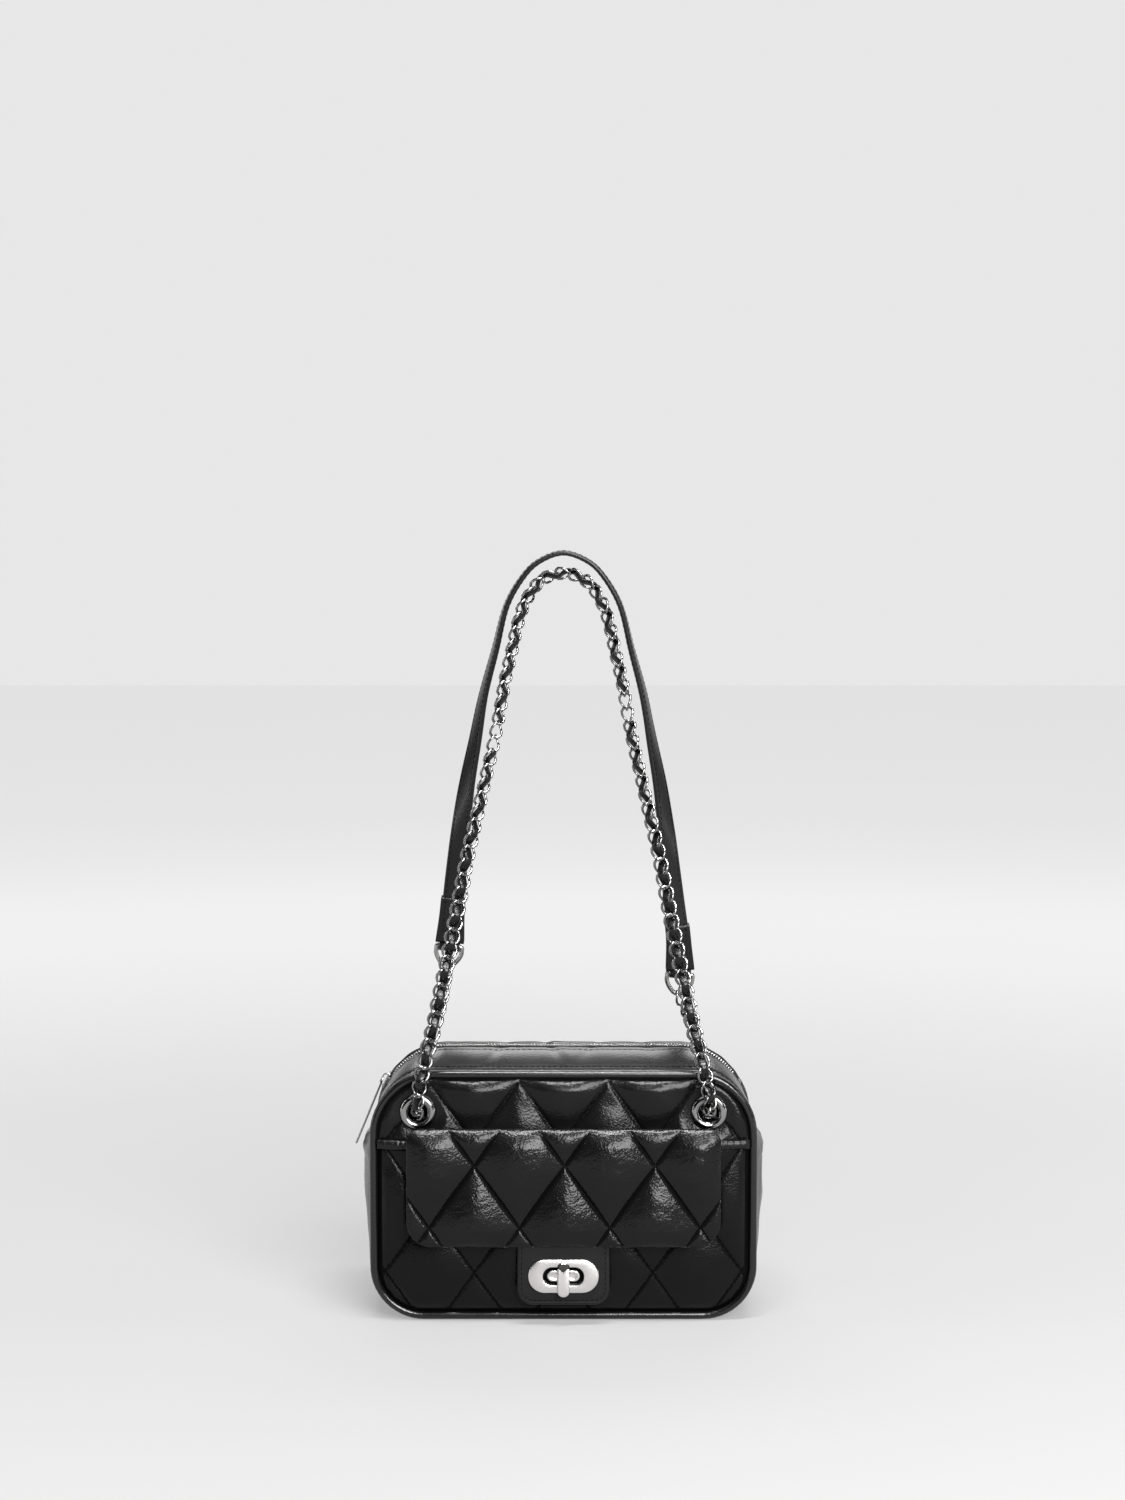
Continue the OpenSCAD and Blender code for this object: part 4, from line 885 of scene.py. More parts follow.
def flat_wire(path, half_deep, half_wide):
    """A closed flat wire along a path across X, rounded in section."""
    t = unit(np.roll(path, -1, 0) - np.roll(path, 1, 0))
    side = np.array([1.0, 0, 0])
    turns = full_turn(12)[None, :, None]
    rings = path[:, None] + half_deep * squared(np.cos(turns), 0.6) * np.cross(t, side)[:, None]
    return loft_mesh(rings + half_wide * squared(np.sin(turns), 0.6) * side, path_closed=True)


slider_turn = math.radians(62)
slider_up = np.array([-math.sin(slider_turn), 0, math.cos(slider_turn)])
slider_way = np.array([math.cos(slider_turn), 0, math.sin(slider_turn)])
arc_middle = np.array([-zip_arc_x, 0, zip_arc_z])
to_slider = local_frame(arc_middle + zip_arc_r * slider_up, slider_way, (0, 1, 0), slider_up)
plate_line = round_outline([(-4.5, -2.4), (-1.5, -3.7), (4.5, -3.5),
                            (4.5, 3.5), (-1.5, 3.7), (-4.5, 2.4)], 0.9)
post_line = [(-1.8, -0.2), (1.8, -0.2), (1.8, 0.2), (-1.8, 0.2)]
bridge_top = [(-3.5, 0.9), (-3.4, 2.6), (-2.3, 3.75), (2.3, 3.75), (3.4, 2.6), (3.5, 0.9)]
bridge_under = [(-2.7, 0.9), (-2.6, 2.3), (-1.9, 3.05), (1.9, 3.05), (2.6, 2.3), (2.7, 0.9)]
bridge = np.array([[(ax, -0.8, az), (ax, 0.8, az), (bx, 0.8, bz), (bx, -0.8, bz)]
                   for (ax, az), (bx, bz) in zip(bridge_top, bridge_under)])
spots, faces = joined([slab_mesh(plate_line, 0.5, 1.5), slab_mesh(plate_line, -3.7, -3.0),
                       slab_mesh(post_line, -3.6, 1.2), loft_mesh(bridge)])
slider = new_piece("zip_slider_body", to_slider(spots), faces, polished)
edges = slider.modifiers.new("edges", "BEVEL")
edges.width, edges.segments, edges.limit_method, edges.harden_normals = 0.00025, 2, "ANGLE", True
put_on(slider, "zip_slider", "silver", "zip_slider")

lean = math.radians(22.5)
to_pull = local_frame(arc_middle + (zip_arc_r + 2.85) * slider_up,
                      (math.cos(lean), 0, -math.sin(lean)), (0, 1, 0),
                      (math.sin(lean), 0, math.cos(lean)))
pull_half, pull_foot, pull_tie = 1.4, -36, -5.2
loop = [(-pull_half, pull_tie), (-pull_half, pull_foot)]
loop += [(-pull_half * math.cos(a), pull_foot - pull_half * 0.9 * math.sin(a))
         for a in np.linspace(0.4, math.pi - 0.4, 6)]
loop += [(pull_half, pull_foot), (pull_half, pull_tie), (pull_half, -1.2), (pull_half * 0.9, -0.3),
         (0, 0), (-pull_half * 0.9, -0.3), (-pull_half, -1.2)]
frame_wire = flat_wire(np.array([(0, y, z) for y, z in loop]), 0.5, 0.52)
spots, faces = joined([frame_wire, round_bar((0, -1.6, -6.0), (0, 1.6, -6.0), 0.45)])
put_on(new_piece("zip_pull_frame", to_pull(spots), faces, polished), "zip_pull", "silver", "zip_pull")


# Eyelets. A turned silver ring with a rolled lip is set through each panel, clenched on a washer
# inside.
def turned(profile, middle, side, steps=56):
    """A body turned about a line along Y from a closed profile of radius and depth."""
    r, y = np.array(profile, float).T[:, None]
    turns = full_turn(steps)[:, None]
    rings = xyz(middle[0] + r * np.cos(turns), side * y + 0 * turns, middle[1] + r * np.sin(turns))
    return loft_mesh(rings, path_closed=True)


eyelet_silver = silver("eyelet_silver", 0.3, 0.08)
eyelet_lip = [(7.15 - 2.35 * math.cos(a), 30.0 + 2.4 * math.sin(a)) for a in np.linspace(0, math.pi, 17)]
eyelet_line = eyelet_lip + [(9.4, 29.8), (5.5, 29.8), (5.5, 25.2), (5.3, 25.0), (4.9, 25.0), (4.8, 25.2)]
for name, hand, side in (("eyelet_front_left", -1, -1), ("eyelet_front_right", 1, -1),
                         ("eyelet_rear_left", -1, 1), ("eyelet_rear_right", 1, 1)):
    ring = turned(eyelet_line, (hand * eyelet_x, eyelet_z), side)
    put_on(new_piece(name + "_ring", *ring, eyelet_silver), "bag", "silver", name)
dull_steel = silver("dull_steel", 0.45, 0.38, 0.0, 3.0)
recoat("eyelet_washers", dull_steel)


# Slip pocket. A quilted front stands off the lower panel at its mouth, over a cloth lining.
# It is sewn into the piping's seam at the sides and below; the turn lock is set through it.
pocket_mouth = 90.0
pocket_shape = (95.8, 4.5, pocket_mouth, 23.8, 1)
pocket_seam = (95.8, 4.5, 140, 23.8, 1)  # the same, left open over the mouth
pocket_edge = 28.7
lock_z = 26.5


def pocket_depth(x, z):
    """How far the pocket's inner face stands in front of the bag's middle."""
    across = share(np.abs(x) / half_width(z, (95.7, 4.6, 140, 23.7, 1)))
    down = share((pocket_mouth - z) / 85.4)
    return 30.2 + 4.9 * (1 - across**4) * (1 - down**4)


def pocket_face(x, z):
    """How far its outer face stands there; it lies flatter behind the lock and under the flap."""
    inside = edge_distance(x, z, pocket_seam)
    rim = share((inside - 0.5) / 5) ** 0.7
    behind_lock = 1 - 0.75 * np.exp(-((x / 25) ** 4 + ((z - 28) / 22) ** 4))
    under_flap = 1 - 0.55 * share((z - 40) / 8) * share((82 - np.abs(x)) / 6)
    lift = 2.4 * quilted(x, z, panel_seams) * rim * behind_lock * under_flap
    off_edge = pocket_depth(x, z) + 0.9 - pocket_edge
    sewn = pocket_edge + off_edge * (1 - np.exp(-inside / 1.5))
    return sewn + lift + 0.12 * ripple(x, z, 41, 16) * rim * behind_lock


def pocket_grids():
    x, z = flat_grid(pocket_shape, 0.8)
    loose = lambda a, b: (np.hypot(a / 26, (b - 28) / 20) > 1) & ((b < 40) | (np.abs(a) > 81))
    outer = xyz(x, -pocket_face(x, z), z)
    outer += filled_out(pocket_face, -1, pocket_shape, panel_seams, loose, x, z)
    inner = xyz(x, -np.minimum(pocket_depth(x, z) + 0.75, pocket_face(x, z) - 0.3), z)
    return outer, inner, np.hypot(middles(x), middles(z) - lock_z) > 2.6


def behind_tongue(x, z):
    return (np.abs(x) < 20) & (z > 14)


# The pocket's leather is a darker, less shiny copy of the panels' leather: painted shade over the low
# front.
pocket_leather = leather("pocket_leather", 0.22, shade=0.0018, shine=0.13)
pocket = new_piece("pocket_front", *skin_mesh(*pocket_grids()), pocket_leather)
# Painted shade: the pocket's seam creases and its rim by the piping get the near-black leather.
darken(pocket, crease_shade_leather, lambda x, y, z: (
    (on_seam(x, z, panel_seams, 1.4) & ~behind_tongue(x, z)) | (edge_distance(x, z, pocket_seam) < 2.2)))
put_on(pocket, "bag", "leather", "slip_pocket")
sew(quilting_thread, "pocket_stitches", "bag", *quilt_lines(
    panel_seams, 95, 5, pocket_mouth, lambda x, z: -(pocket_face(x, z) + 0.05),
    lambda x, z: ((edge_distance(x, z, pocket_seam) > 2) & ((np.abs(x) > 78) | (z < 44))
                  & ~behind_tongue(x, z))))
x, z = flat_grid((91.0, 9.4, pocket_mouth, 19.0, 1), 3.0)
back = pocket_depth(x, z)
pocket_cloth = skin_mesh(xyz(x, -back + 0.02, z), xyz(x, -back + 0.42, z),
                         np.hypot(middles(x), middles(z) - lock_z) > 3.5)
put_on(new_piece("pocket_cloth", *pocket_cloth, lining_cloth), "bag", "lining", "pocket_lining")


# Pocket binding. A strip of thin leather is turned over the pocket's mouth and sewn down.
# It is a little long for the mouth, so it gathers along it.
def binding_rings():
    half = pocket_shape[0]
    x = np.linspace(-half, half, 300)[:, None]
    turns = full_turn(20)
    tuck = 1 - 0.5 * np.exp(-(half - np.abs(x)) / 2.5)
    waves = np.sin(x * 2.1 + 1.4 * np.sin(x * 0.31) + 0.7 * np.sin(turns))
    pleat = 0.32 * waves * (0.6 + 0.5 * ripple(x, 0 * turns, 51, 11))
    high = 2.55 + 0.25 * ripple(x, 0 * turns, 52, 20)
    y = -(pocket_depth(x, pocket_mouth + 0 * x) + 1.35) - (1.75 * tuck + pleat) * np.sin(turns)
    return xyz(np.repeat(x, 20, 1), y, 92.7 + (high + 0.4 * pleat) * np.cos(turns))


binding_leather = leather("binding_leather", 0.28, 0.7, 1.2)
binding = new_piece("pocket_mouth_binding", *loft_mesh(binding_rings()), binding_leather)
put_on(binding, "bag", "leather", "pocket_binding")


# Flap. Quilted leather is filled with wadding and rolled over at the top, where a strip sews it to
# the panel. Its back is plain leather, sewn in just inside the edge.
flap_shape = (80.5, 41.7, 102.7, 13, 7)
flap_seams = (0.6, 83.7, 46.3, 64.2)
flap_edge = 40


def quarter_round(rise):
    """Rises from 0 to 1 as a quarter of a circle does."""
    return np.sqrt(share(1 - (1 - share(rise)) ** 2))


def flap_roll(z):
    """0 at the top edge, where the flap is rolled back, rising to 1 below the roll."""
    return quarter_round((flap_shape[2] - z) / 8.5)


def flap_face(x, z):
    inside = edge_distance(x, z, flap_shape)
    rise = quilted(x, z, flap_seams)
    soft_rim = 0.35 + 0.65 * share(inside / 9)
    pull = 0.14 * ripple(x, z, 61, 14) + 0.1 * ripple(x, z, 62, 6)
    lift = (0.4 + 4.1 * rise * soft_rim + pull * rise) * quarter_round(inside / 3.6)
    return flap_edge + 2.5 * flap_roll(z) + lift * flap_roll(z)


def flap_grids():
    x, z = flat_grid(flap_shape, 0.55)
    outer = xyz(x, -flap_face(x, z), z)
    outer += filled_out(flap_face, -1, flap_shape, flap_seams, lambda a, b: True, x, z)
    round_off = quarter_round(edge_distance(x, z, flap_shape) / 3.6)
    return outer, xyz(x, -flap_edge - 2.5 * flap_roll(z) + 3.5 * round_off, z)


flap_leather = leather("flap_leather", 0.2, 1.05, 1.6, shade=0.002, shine=0.21)
flap = new_piece("flap_quilting", *skin_mesh(*flap_grids()), flap_leather)
# Painted shade: the flap's seam creases get the near-black leather.
darken(flap, crease_shade_leather, lambda x, y, z: (
    on_seam(x, z, flap_seams, 1.3) & (y < -42) & (edge_distance(x, z, flap_shape) > 0.5)))
put_on(flap, "flap", "leather", "flap_cover", "flap_wadding")
sew(quilting_thread, "flap_stitches", "flap", *quilt_lines(
    flap_seams, 80, 42, 102, lambda x, z: -(flap_face(x, z) + 0.05),
    lambda x, z: edge_distance(x, z, flap_shape) > 1.5))
plain_leather = leather("plain_leather", 0.34, 0.8, 0.8, 0.005)
x, z = flat_grid((78.0, 44.3, 97.0, 11, 4), 3.0)
thin = 0.08 * ripple(x, z, 63, 20)
backing = skin_mesh(xyz(x, -38.75 + thin, z), xyz(x, -39.3 + thin, z))
put_on(new_piece("flap_backing", *backing, plain_leather), "flap", "leather", "flap_lining")
strip_section = [(-32.6, 94.0), (-31.2, 94.0), (-31.2, 100.6), (-32.2, 100.6), (-32.8, 100.0),
                 (-36, 100.0), (-39.4, 99.5), (-39.4, 98.4), (-36, 98.6), (-32.8, 98.8)]
strip = loft_mesh(np.array([[(x, y + 0.1 * math.sin(x * 0.6), z) for y, z in strip_section]
                            for x in np.linspace(-62, 62, 63)]))
put_on(new_piece("flap_sewn_strip", *strip, plain_leather), "bag", "leather", "flap_hinge_strip")


# Tongue. A plain double piece of leather hangs below the flap and carries the lock's slotted plate.
# It is stitched close to its edge.
tongue_shape = (23.7, 11.3, 140, 8, 1)  # its top end is hidden under the flap


def from_slot(x, z):
    return np.hypot(np.maximum(np.abs(x) - 5.8, 0), z - lock_z)


def tongue_grids():
    foot = tongue_shape[1] + 8 * (1 - np.cos(np.linspace(0, math.pi / 2, 14)))
    near = [0.93, 0.965, 0.99, 1]
    columns = np.concatenate([np.negative(near[::-1]), np.linspace(-0.88, 0.88, 40), near])
    z = np.repeat(np.concatenate([foot, np.linspace(20, 52, 28)])[:, None], len(columns), 1)
    x = half_width(z, tongue_shape) * columns[None, :]
    inside = edge_distance(x, z, tongue_shape)
    crown = quarter_round(inside / 1.0)
    groove = -0.22 * hump(inside - 2.2, 0.5) * (z < 41)
    face = 40.6 + 0.95 * crown + groove + 0.06 * ripple(x, z, 71, 13)
    from_pin = np.hypot(np.abs(middles(x)) - 14.4, middles(z) - lock_z)
    solid = (from_slot(middles(x), middles(z)) > 5.4) & (from_pin > 1.6)
    return xyz(x, -face, z), xyz(x, -40.5 + 0.75 * crown, z), solid


tongue_leather = leather("tongue_leather", 0.36, 0.6, 0.6, 0.004, shine=0.18)
tongue = new_piece("flap_tongue_leather", *skin_mesh(*tongue_grids()), tongue_leather)
put_on(tongue, "flap", "leather", "flap_tongue")
face_y, turn_x, turn_z, turn_r = -41.6, -15.7, 19.3, 5.8
left_line = [(turn_x - turn_r, face_y, z) for z in np.linspace(41, turn_z, 18)]
left_line += [(turn_x - turn_r * math.cos(a), face_y, turn_z - turn_r * math.sin(a))
              for a in np.linspace(0, math.pi / 2, 10)[1:]]
tongue_line = np.array(left_line + [(-x, y, z) for x, y, z in left_line[::-1]])
sew(stitching("tongue_stitch", 2.6, 1.9, 0.36), "tongue_stitches", "flap", [tongue_line])


# Turn lock. A pale nickel plate with a slot is pinned to the tongue over a back plate; the base on
# the pocket has an oval boss that fills the slot, and a bar on a spindle turns across it.
def oval_line(length, height):
    """Points round an oval with round ends."""
    straight, r = (length - height) / 2, height / 2
    return np.array([(s * (straight + r * math.cos(a)), s * r * math.sin(a))
                     for s in (1, -1) for a in np.linspace(-math.pi / 2, math.pi / 2, 20)])


def pressed_oval(steps, slotted=False):
    """An oval pressed from sheet: rings from the outline inwards, each inset at its own depth."""
    rings = []
    for length, height, y in steps:
        x, z = oval_line(length, height).T
        rings.append(xyz(x, 0 * x + y, z + lock_z))
    return loft_mesh(np.array(rings), path_closed=slotted)


nickel = silver("pale_nickel", 0.72, 0.26, 0.02, 1.5)
# A near-black copy of the nickel: painted shade for the slot, the boss seen through it and the bar's cut.
nickel_shade = silver("nickel_in_shade", 0.02, 0.5)
plate = [(35.7, 16.7, -41.65), (36.3, 17.3, -42.0), (36.3, 17.3, -42.55), (36.0, 17.0, -42.8),
         (35.4, 16.4, -42.95), (22.3, 10.7, -42.95), (21.3, 9.7, -42.85), (20.8, 9.2, -42.5),
         (20.7, 9.1, -41.65)]
lock_front = new_piece("lock_front_plate", *pressed_oval(plate, slotted=True), nickel)
# Painted shade on the sides of the slot.
darken(lock_front, nickel_shade, lambda x, y, z: from_slot(x, z) < 4.85)
put_on(lock_front, "flap", "lock_metal", "lock_plate")
recoat("lock_plate_back", dull_steel)
recoat("lock_washer", dull_steel)
boss = [(25.6, 11.6, -36.4), (26, 12, -36.7), (26, 12, -37.2), (25.4, 11.4, -37.5),
        (18.0, 7.0, -37.5), (17.2, 6.2, -37.8), (17, 6, -38.2), (17, 6, -41.7), (16.6, 5.6, -42.1),
        (15.9, 4.9, -42.25), (14.2, 3.4, -42.25), (13.7, 2.9, -42.0), (10.0, 1.2, -42.0)]
stem = turned([(0.01, 30.8), (2, 30.8), (2, 36.9), (0.01, 36.9)], (0, lock_z), -1, 20)
lock_boss = new_piece("lock_base_boss", *joined([pressed_oval(boss), stem]), nickel)
# Painted shade on the boss's flange and stem, seen in the gap round the slot.
darken(lock_boss, nickel_shade, lambda x, y, z: y > -41.8)
put_on(lock_boss, "bag", "lock_metal", "lock_base")


def turning_bar():
    """A flat bar with round ends, cut back in a curve over its upper end."""
    rows = []
    for length, width, y in (
            (18.2, 5.5, -43.45), (19, 6.3, -43.7), (19, 6.3, -45.3), (18.7, 6.0, -45.7),
            (18.0, 5.3, -46.0), (17.0, 4.5, -46), (15.8, 3.7, -46), (14.2, 2.9, -46),
            (12.4, 2.1, -46), (10.2, 1.3, -46), (7.6, 0.5, -46)):
        up, across = oval_line(length, width).T
        up = lock_z + 0.93 * up - 1.3
        back = 1.7 * share((up - 29.6) / 4.8) ** 1.3 if y < -44.4 else 0
        rows.append(xyz(across, y + back + 0 * up, up))
    return loft_mesh(np.array(rows))


spindle = turned([(0.01, 38.2), (1.55, 38.2), (1.55, 43.9), (0.01, 43.9)], (0, lock_z), -1, 20)
bar = new_piece("lock_turning_bar", *joined([turning_bar(), spindle]), nickel)
# Painted shade on the curved cut over the bar's upper end.
darken(bar, nickel_shade, lambda x, y, z: (z > 29.3 - 0.14 * x * x) & (z < 33.5) & (y < -43.6))
put_on(bar, "turn_button", "lock_metal", "turn_button")


# Chains. Silver wire links, each turned against the next, run from eyelet to eyelet over the
# shoulder, down behind to the strap's rings, and across inside the bag.
def smooth_run(points, links=0):
    """A smooth line through points, its length at each point and how many links hang along it."""
    p = np.asarray(points, float)
    p = np.concatenate([p[:1], p, p[-1:]])
    line = []
    for a, b, c, d in zip(p[:-3], p[1:-2], p[2:-1], p[3:]):
        for t in np.arange(6) / 6:
            line.append(0.5 * (2 * b + (c - a) * t + (2 * a - 5 * b + 4 * c - d) * t**2
                               + (3 * b - a - 3 * c + d) * t**3))
    line = np.array(line + [p[-1]])
    return line, run_lengths(line), links


def at_length(run, s):
    return np.stack([np.interp(s, run[1], run[0][:, k]) for k in range(3)], -1)


def across_way(t, towards, angle):
    """Direction across t nearest to another one, turned about t by an angle in degrees."""
    towards = np.asarray(towards, float)
    n = unit(towards - (t @ towards)[..., None] * t)
    a = np.radians(np.asarray(angle, float))[..., None]
    return np.cos(a) * n + np.sin(a) * np.cross(t, n)


def link_turn(i, n):
    """How far a link is turned: 45 degrees at each eyelet, edge on over the shoulder."""
    from_last = n - 1 - i
    last = 45 if n % 2 == 0 else -45
    over_shoulder = 48 * share((np.minimum(i, from_last) - 10) / 14)
    return -45 * np.maximum(0, 1 - i / 5) + last * np.maximum(0, 1 - from_last / 5) + over_shoulder


def ring_down(at, below):
    way = np.array(below, float) - at
    return unit(way - (way @ ring_line) * ring_line)


mirror_x = np.array([-1, 1, 1])
hook_at = np.array([eyelet_x, -34.5, 108.5])
leaving = np.array([[0, -4.9, 5.4], [-0.9, -6.6, 13.2], [-3, -5.3, 23.5], [-5.8, -3.5, 35.5]])
front_steps = np.concatenate([[hook_at - 0.8 * unit(leaving[0])], hook_at + leaving])
rear_steps = front_steps * np.array([1, -1, 1])
rising = np.array([
    [66.2, -36.4, 155], [63.2, -34.2, 170], [60, -32, 185], [57, -29.8, 200], [52.6, -26.5, 223],
    [49.8, -24.2, 238.5], [46.3, -21.9, 254], [42.7, -19.7, 269], [39.2, -17.5, 284.5],
    [35.6, -15.2, 300], [32.8, -13, 315], [30.3, -10.8, 330], [26.6, -8.5, 346],
    [23.4, -6.3, 361], [20.6, -5.1, 369], [16, -3.8, 377.5], [9.5, -3, 383.6]])
right_side = np.concatenate([front_steps, rising])
front_run = smooth_run(np.concatenate([right_side * mirror_x, [[0, -2.6, 386]], right_side[::-1]]), 83)
ring_left, ring_right = np.array([-61, 31.8, 186.1]), np.array([62.7, 34.0, 170.85])
ring_line = unit(ring_right - ring_left)
down_left, down_right = ring_down(ring_left, (-65.4, 37, 155)), ring_down(ring_right, (66.6, 37.8, 148))
ring_foot = 7.4 + 4.1 - 1.25
rear_left_run = smooth_run(np.concatenate([
    rear_steps * mirror_x, [[-65.6, 36.6, 157], ring_left + ring_foot * down_left]]), 10)
rear_right_run = smooth_run(np.concatenate([rear_steps, [ring_right + ring_foot * down_right]]), 8)
slack = [(-1, 0), (-0.79, -0.06), (-0.58, 0.13), (-0.32, 0.66), (0, 1), (0.32, 0.66),
         (0.58, 0.13), (0.79, -0.06), (1, 0)]
inner_left_run, inner_right_run = (
    smooth_run([[s * eyelet_x, q * 33.7, 108.5 - 8 * d] for q, d in slack], 10) for s in (-1, 1))

links = Pattern("chain_links", {
    "Link length": 0.01025, "Link width": 0.0088, "Wire width": 0.00145,
    "Link twist": math.radians(90) / 0.01025, "Metal": polished})
wire = links.given("Wire width")
wide, long = links.given("Link width") - wire, links.given("Link length") - wire
oval = links.node("GeometryNodeCurvePrimitiveQuadrilateral", None, {"Width": wide, "Height": long})
bent = links.node("GeometryNodeFilletCurve", {"mode": "POLY"}, {
    "Curve": oval, "Radius": wide * 0.499, "Count": 3})
around = links.node("GeometryNodeCurvePrimitiveCircle", None, {"Resolution": 6, "Radius": wire * 0.5})
flat = links.node("GeometryNodeCurveToMesh", None, {"Curve": bent, "Profile Curve": around})
spot = links.node("GeometryNodeInputPosition")
height = links.node("ShaderNodeSeparateXYZ", None, {0: spot}, "Y")
twisted = links.node("ShaderNodeVectorRotate", {"rotation_type": "Y_AXIS"}, {
    "Vector": spot, "Angle": height * links.given("Link twist")})
link = links.node("GeometryNodeSetPosition", None, {"Geometry": flat, "Position": twisted})
lengthwise = links.turned_to("Y", links.direction("along"))
turn = links.turned_to("X", links.direction("across"), "Y", lengthwise)
links.finish_with(links.given("Path"), link, turn, "Metal")
# A darker copy of the silver for the chains inside the bag: painted shade.
shaded = silver("shaded_silver", 0.12, 0.3)
chain_silver = silver("chain_silver", 0.24, 0.1)
forward, sideways = (0, 1, 0), (1, 0, 0)
for name, run, first, last, towards, body in (
        ("front_chain_left", front_run, 0, 27, forward, "front_handle"),
        ("front_chain_top", front_run, 28, 52, forward, "front_handle"),
        ("front_chain_right", front_run, 53, 82, forward, "front_handle"),
        ("rear_chain_left", rear_left_run, 0, 9, forward, "rear_handle"),
        ("rear_chain_right", rear_right_run, 0, 7, forward, "rear_handle"),
        ("inner_chain_left", inner_left_run, 0, 9, sideways, "bag"),
        ("inner_chain_right", inner_right_run, 0, 9, sideways, "bag")):
    count = run[2]
    pitch = run[1][-1] / count
    i = np.arange(first, last + 1)
    a, b = at_length(run, i * pitch), at_length(run, (i + 1) * pitch)
    way = unit(b - a)
    across = across_way(way, towards, link_turn(i, count) + 90)
    # The chains inside the bag take the darker silver: painted shade.
    links.sizes["Metal"] = shaded if body == "bag" else chain_silver
    made = links.made_along(name + "_links", (a + b) / 2, [], {"along": way, "across": across})
    put_on(made, body, "silver", name)


# Laces. A flat strip of soft black leather is woven through the links, in front of one joint and
# behind the next, and ends at the two bare joints.
def lace_rings(run, first, last):
    pitch = run[1][-1] / run[2]
    count = (last - first) * 8 + 1
    i = np.linspace(first, last, count)
    s = i * pitch
    t = unit(at_length(run, s + 1.5) - at_length(run, s - 1.5))
    turn = link_turn(i - 0.5, run[2])
    side, out = across_way(t, forward, turn + 90), across_way(t, forward, turn)
    middle = at_length(run, s) + out * (2.05 * np.cos(math.pi * i))[:, None]
    plump = 1 - 0.22 * np.cos(math.pi * i) ** 8
    from_start = np.arange(count)
    ends = np.sqrt(share(np.minimum(from_start, from_start[::-1]) / 2.0 + 0.15))
    turns = full_turn(14)
    a = (2.15 * plump * ends)[:, None, None] * squared(np.cos(turns), 0.75)[None, :, None]
    b = (0.62 * ends)[:, None, None] * np.sin(turns)[None, :, None]
    return middle[:, None] + a * side[:, None] + b * out[:, None]


lace_leather = leather("lace_leather", 0.24, 0.6, 0.9, shade=0.002, shine=0.3)
for name, run, first, last, body in (
        ("front_lace_left", front_run, 1, 27, "front_handle"),
        ("front_lace_top", front_run, 29, 52, "front_handle"),
        ("front_lace_right", front_run, 54, 82, "front_handle"),
        ("rear_lace_left", rear_left_run, 1, 9, "rear_handle"),
        ("rear_lace_right", rear_right_run, 1, 7, "rear_handle")):
    lace = new_piece(name + "_strip", *loft_mesh(lace_rings(run, first, last)), lace_leather)
    put_on(lace, body, "leather", name)


# Strap rings. A long ring of thick wire joins each end of the strap to its chain leg.
# Its top is straight, where the strap's loop turns on it, and its foot is round.
def wire_ring(at, down):
    half, corner, waist, wire_r = 7.4, 0.9, -4.1, 1.25
    path = [(-half, waist), (-half, -corner)]
    path += [(corner - half - corner * math.cos(a), corner * math.sin(a) - corner) for a in (0.5, 1.0)]
    path += [(x, 0.0) for x in (-6.5, -3.2, 0.0, 3.2, 6.5)]
    path += [(half - corner + corner * math.sin(a), corner * math.cos(a) - corner) for a in (0.5, 1.0)]
    path += [(half, -corner), (half, waist)]
    path += [(half * math.cos(a), waist - half * math.sin(a)) for a in np.linspace(0, math.pi, 20)[1:-1]]
    path = np.array([(x * (0.92 + 0.034 * min(0, z - waist)), z) for x, z in path])
    ahead = unit(np.roll(path, -1, 0) - np.roll(path, 1, 0))
    out = np.stack([ahead[:, 1], -ahead[:, 0]], -1)
    turns = full_turn(16)[None, :, None]
    flat = path[:, None] + wire_r * np.cos(turns) * out[:, None]
    rings = (at + flat[..., :1] * ring_line - flat[..., 1:] * down
             + wire_r * np.sin(turns) * np.cross(-down, ring_line))
    return loft_mesh(rings, path_closed=True)


for name, at, down in (("strap_ring_left", ring_left, down_left),
                       ("strap_ring_right", ring_right, down_right)):
    put_on(new_piece(name + "_wire", *wire_ring(at, down), polished), "rear_handle", "silver", name)


# Shoulder strap. Two layers of leather are sewn together along both edges. It stands on edge over
# the shoulder and turns its face forward at the ends, where tabs close round the rings.
def strap_ways(s):
    """Directions across the strap and out of its face."""
    t = unit(at_length(strap_run, np.minimum(s + 1.5, strap_length))
             - at_length(strap_run, np.maximum(s - 1.5, 0)))
    turn = np.interp(np.minimum(s, strap_length - s) / 27,
                     [0, 1, 1.63, 3.33, 5.19, 7.04, 8.52], [90, 89.2, 74, 42, 17, 5, 0])
    return across_way(t, forward, turn), across_way(t, forward, turn + 90)


def strap_lines(s, offsets):
    """Lines along the strap, each a step across it and a step over its face."""
    wide, over = strap_ways(s)
    return [at_length(strap_run, s) + a * wide + b * over for a, b in offsets]


def strap_rings(s, half, low, high):
    """Rings of a flat strip with rounded edges, between two heights over the strap's middle."""
    wide, over = strap_ways(s)
    turns = full_turn(28)
    c, d = np.cos(turns), np.sin(turns)
    half = half + 1.2 * hump(np.minimum(s, strap_length - s), 13)[:, None]
    a = half * squared(c, 0.4)
    b = (low + high) / 2 + (high - low) / 2 * squared(d, 0.55)
    dent = 0.16 * hump(np.abs(a) - half + 1.7, 0.45) * -np.sign(d)
    b = b + dent * (np.abs(d) > 0.3)
    return at_length(strap_run, s)[:, None] + a[..., None] * wide[:, None] + b[..., None] * over[:, None]


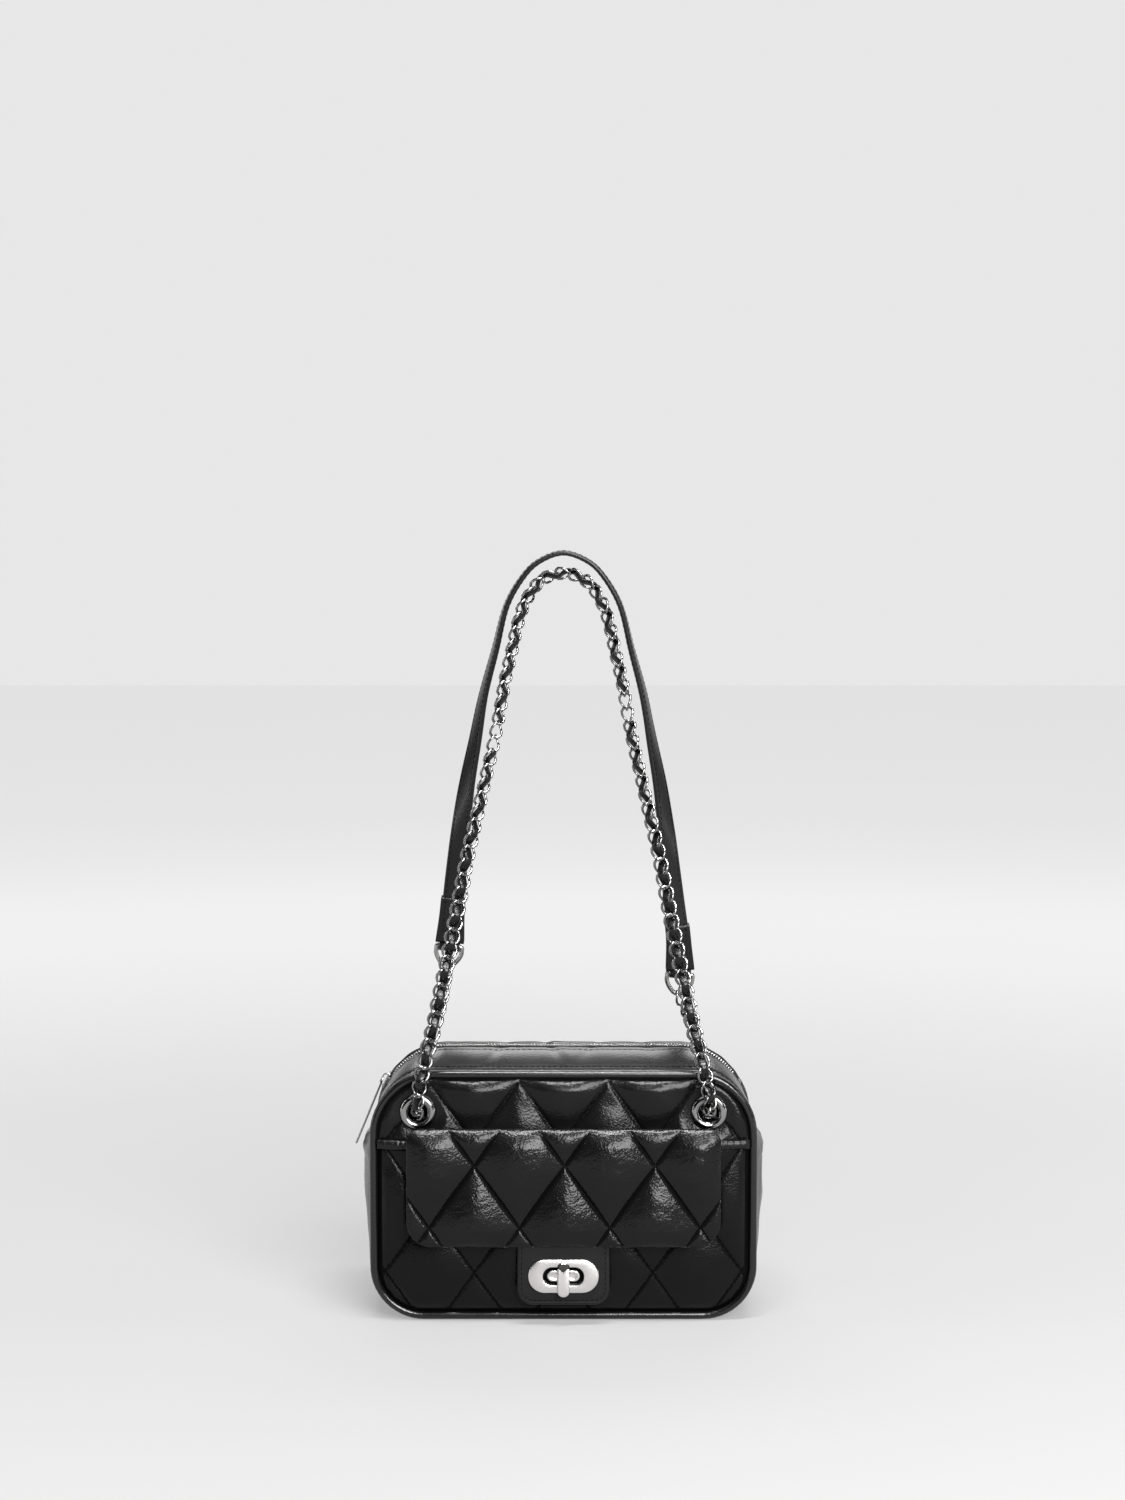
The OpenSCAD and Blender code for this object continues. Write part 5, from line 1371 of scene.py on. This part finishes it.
def tab_loop(at):
    """The tab's leather where it goes round the ring."""
    turns = full_turn(28)[:, None]
    n = unit(np.cross((0, 0, 1), ring_line))
    u = np.cross(ring_line, n)
    section = ((1.45, -5.5), (2.5, -5.5), (2.85, -5.15), (2.85, 5.15), (2.5, 5.5), (1.45, 5.5))
    return loft_mesh(np.array([at + end * ring_line + r * (np.cos(turns) * n + np.sin(turns) * u)
                               for r, end in section]), path_closed=True)


strap_half = np.array([
    [57.2, 26.2, 225.3], [54.4, 22.6, 249.7], [51, 19, 274], [46.4, 15.5, 298], [41.9, 12, 322],
    [35.6, 8.5, 345.6], [29.4, 5.1, 369.3], [19.8, 3.7, 385.4], [11, 3.2, 392.8]])
strap_run = smooth_run(np.concatenate([
    [ring_left, [-59.9, 29.9, 199], [-58.9, 28.4, 210]], strap_half * mirror_x, [[0, 3, 396.2]],
    strap_half[::-1], [[59.2, 28.6, 209], [61.4, 30.9, 192], ring_right]]))
strap_length = strap_run[1][-1]
strap_leather = leather("strap_leather", 0.3, 0.75, 0.8)
stitches_at = (-4.0, 4.0)
middle = np.linspace(6.75, strap_length - 6.75, 260)
strap = new_piece("shoulder_strap_leather", *loft_mesh(strap_rings(middle, 5.7, -1.4, 1.4)), strap_leather)
put_on(strap, "shoulder_strap", "leather", "shoulder_strap")
strap_thread = stitching("strap_stitch", 3.0, 2.2, 0.32)
between_tabs = np.linspace(27.5, strap_length - 27.5, 420)
sew(strap_thread, "strap_stitches", "shoulder_strap", strap_lines(
    between_tabs, [(a, b) for a in stitches_at for b in (-1.27, 1.27)]))
tab_lines = []
for name, at, s, sewn, last in (
        ("strap_tab_left", ring_left, np.linspace(2.4, 27, 24), slice(6, -2), -1),
        ("strap_tab_right", ring_right, strap_length - np.linspace(27, 2.4, 24), slice(2, -6), 0)):
    layers = [loft_mesh(strap_rings(s, 6.5, *heights)) for heights in ((1.5, 2.55), (-2.55, -1.5))]
    tab = new_piece(name + "_leather", *joined(layers + [tab_loop(at)]), strap_leather)
    put_on(tab, "shoulder_strap", "leather", name)
    for b in (-2.52, 2.52):
        sides = [line[sewn] for line in strap_lines(s, [(a, b) for a in stitches_at])]
        end = np.array([sides[0][last] * (1 - q) + sides[1][last] * q for q in np.linspace(0, 1, 6)])
        tab_lines += sides + [end]
sew(strap_thread, "tab_stitches", "shoulder_strap", tab_lines)
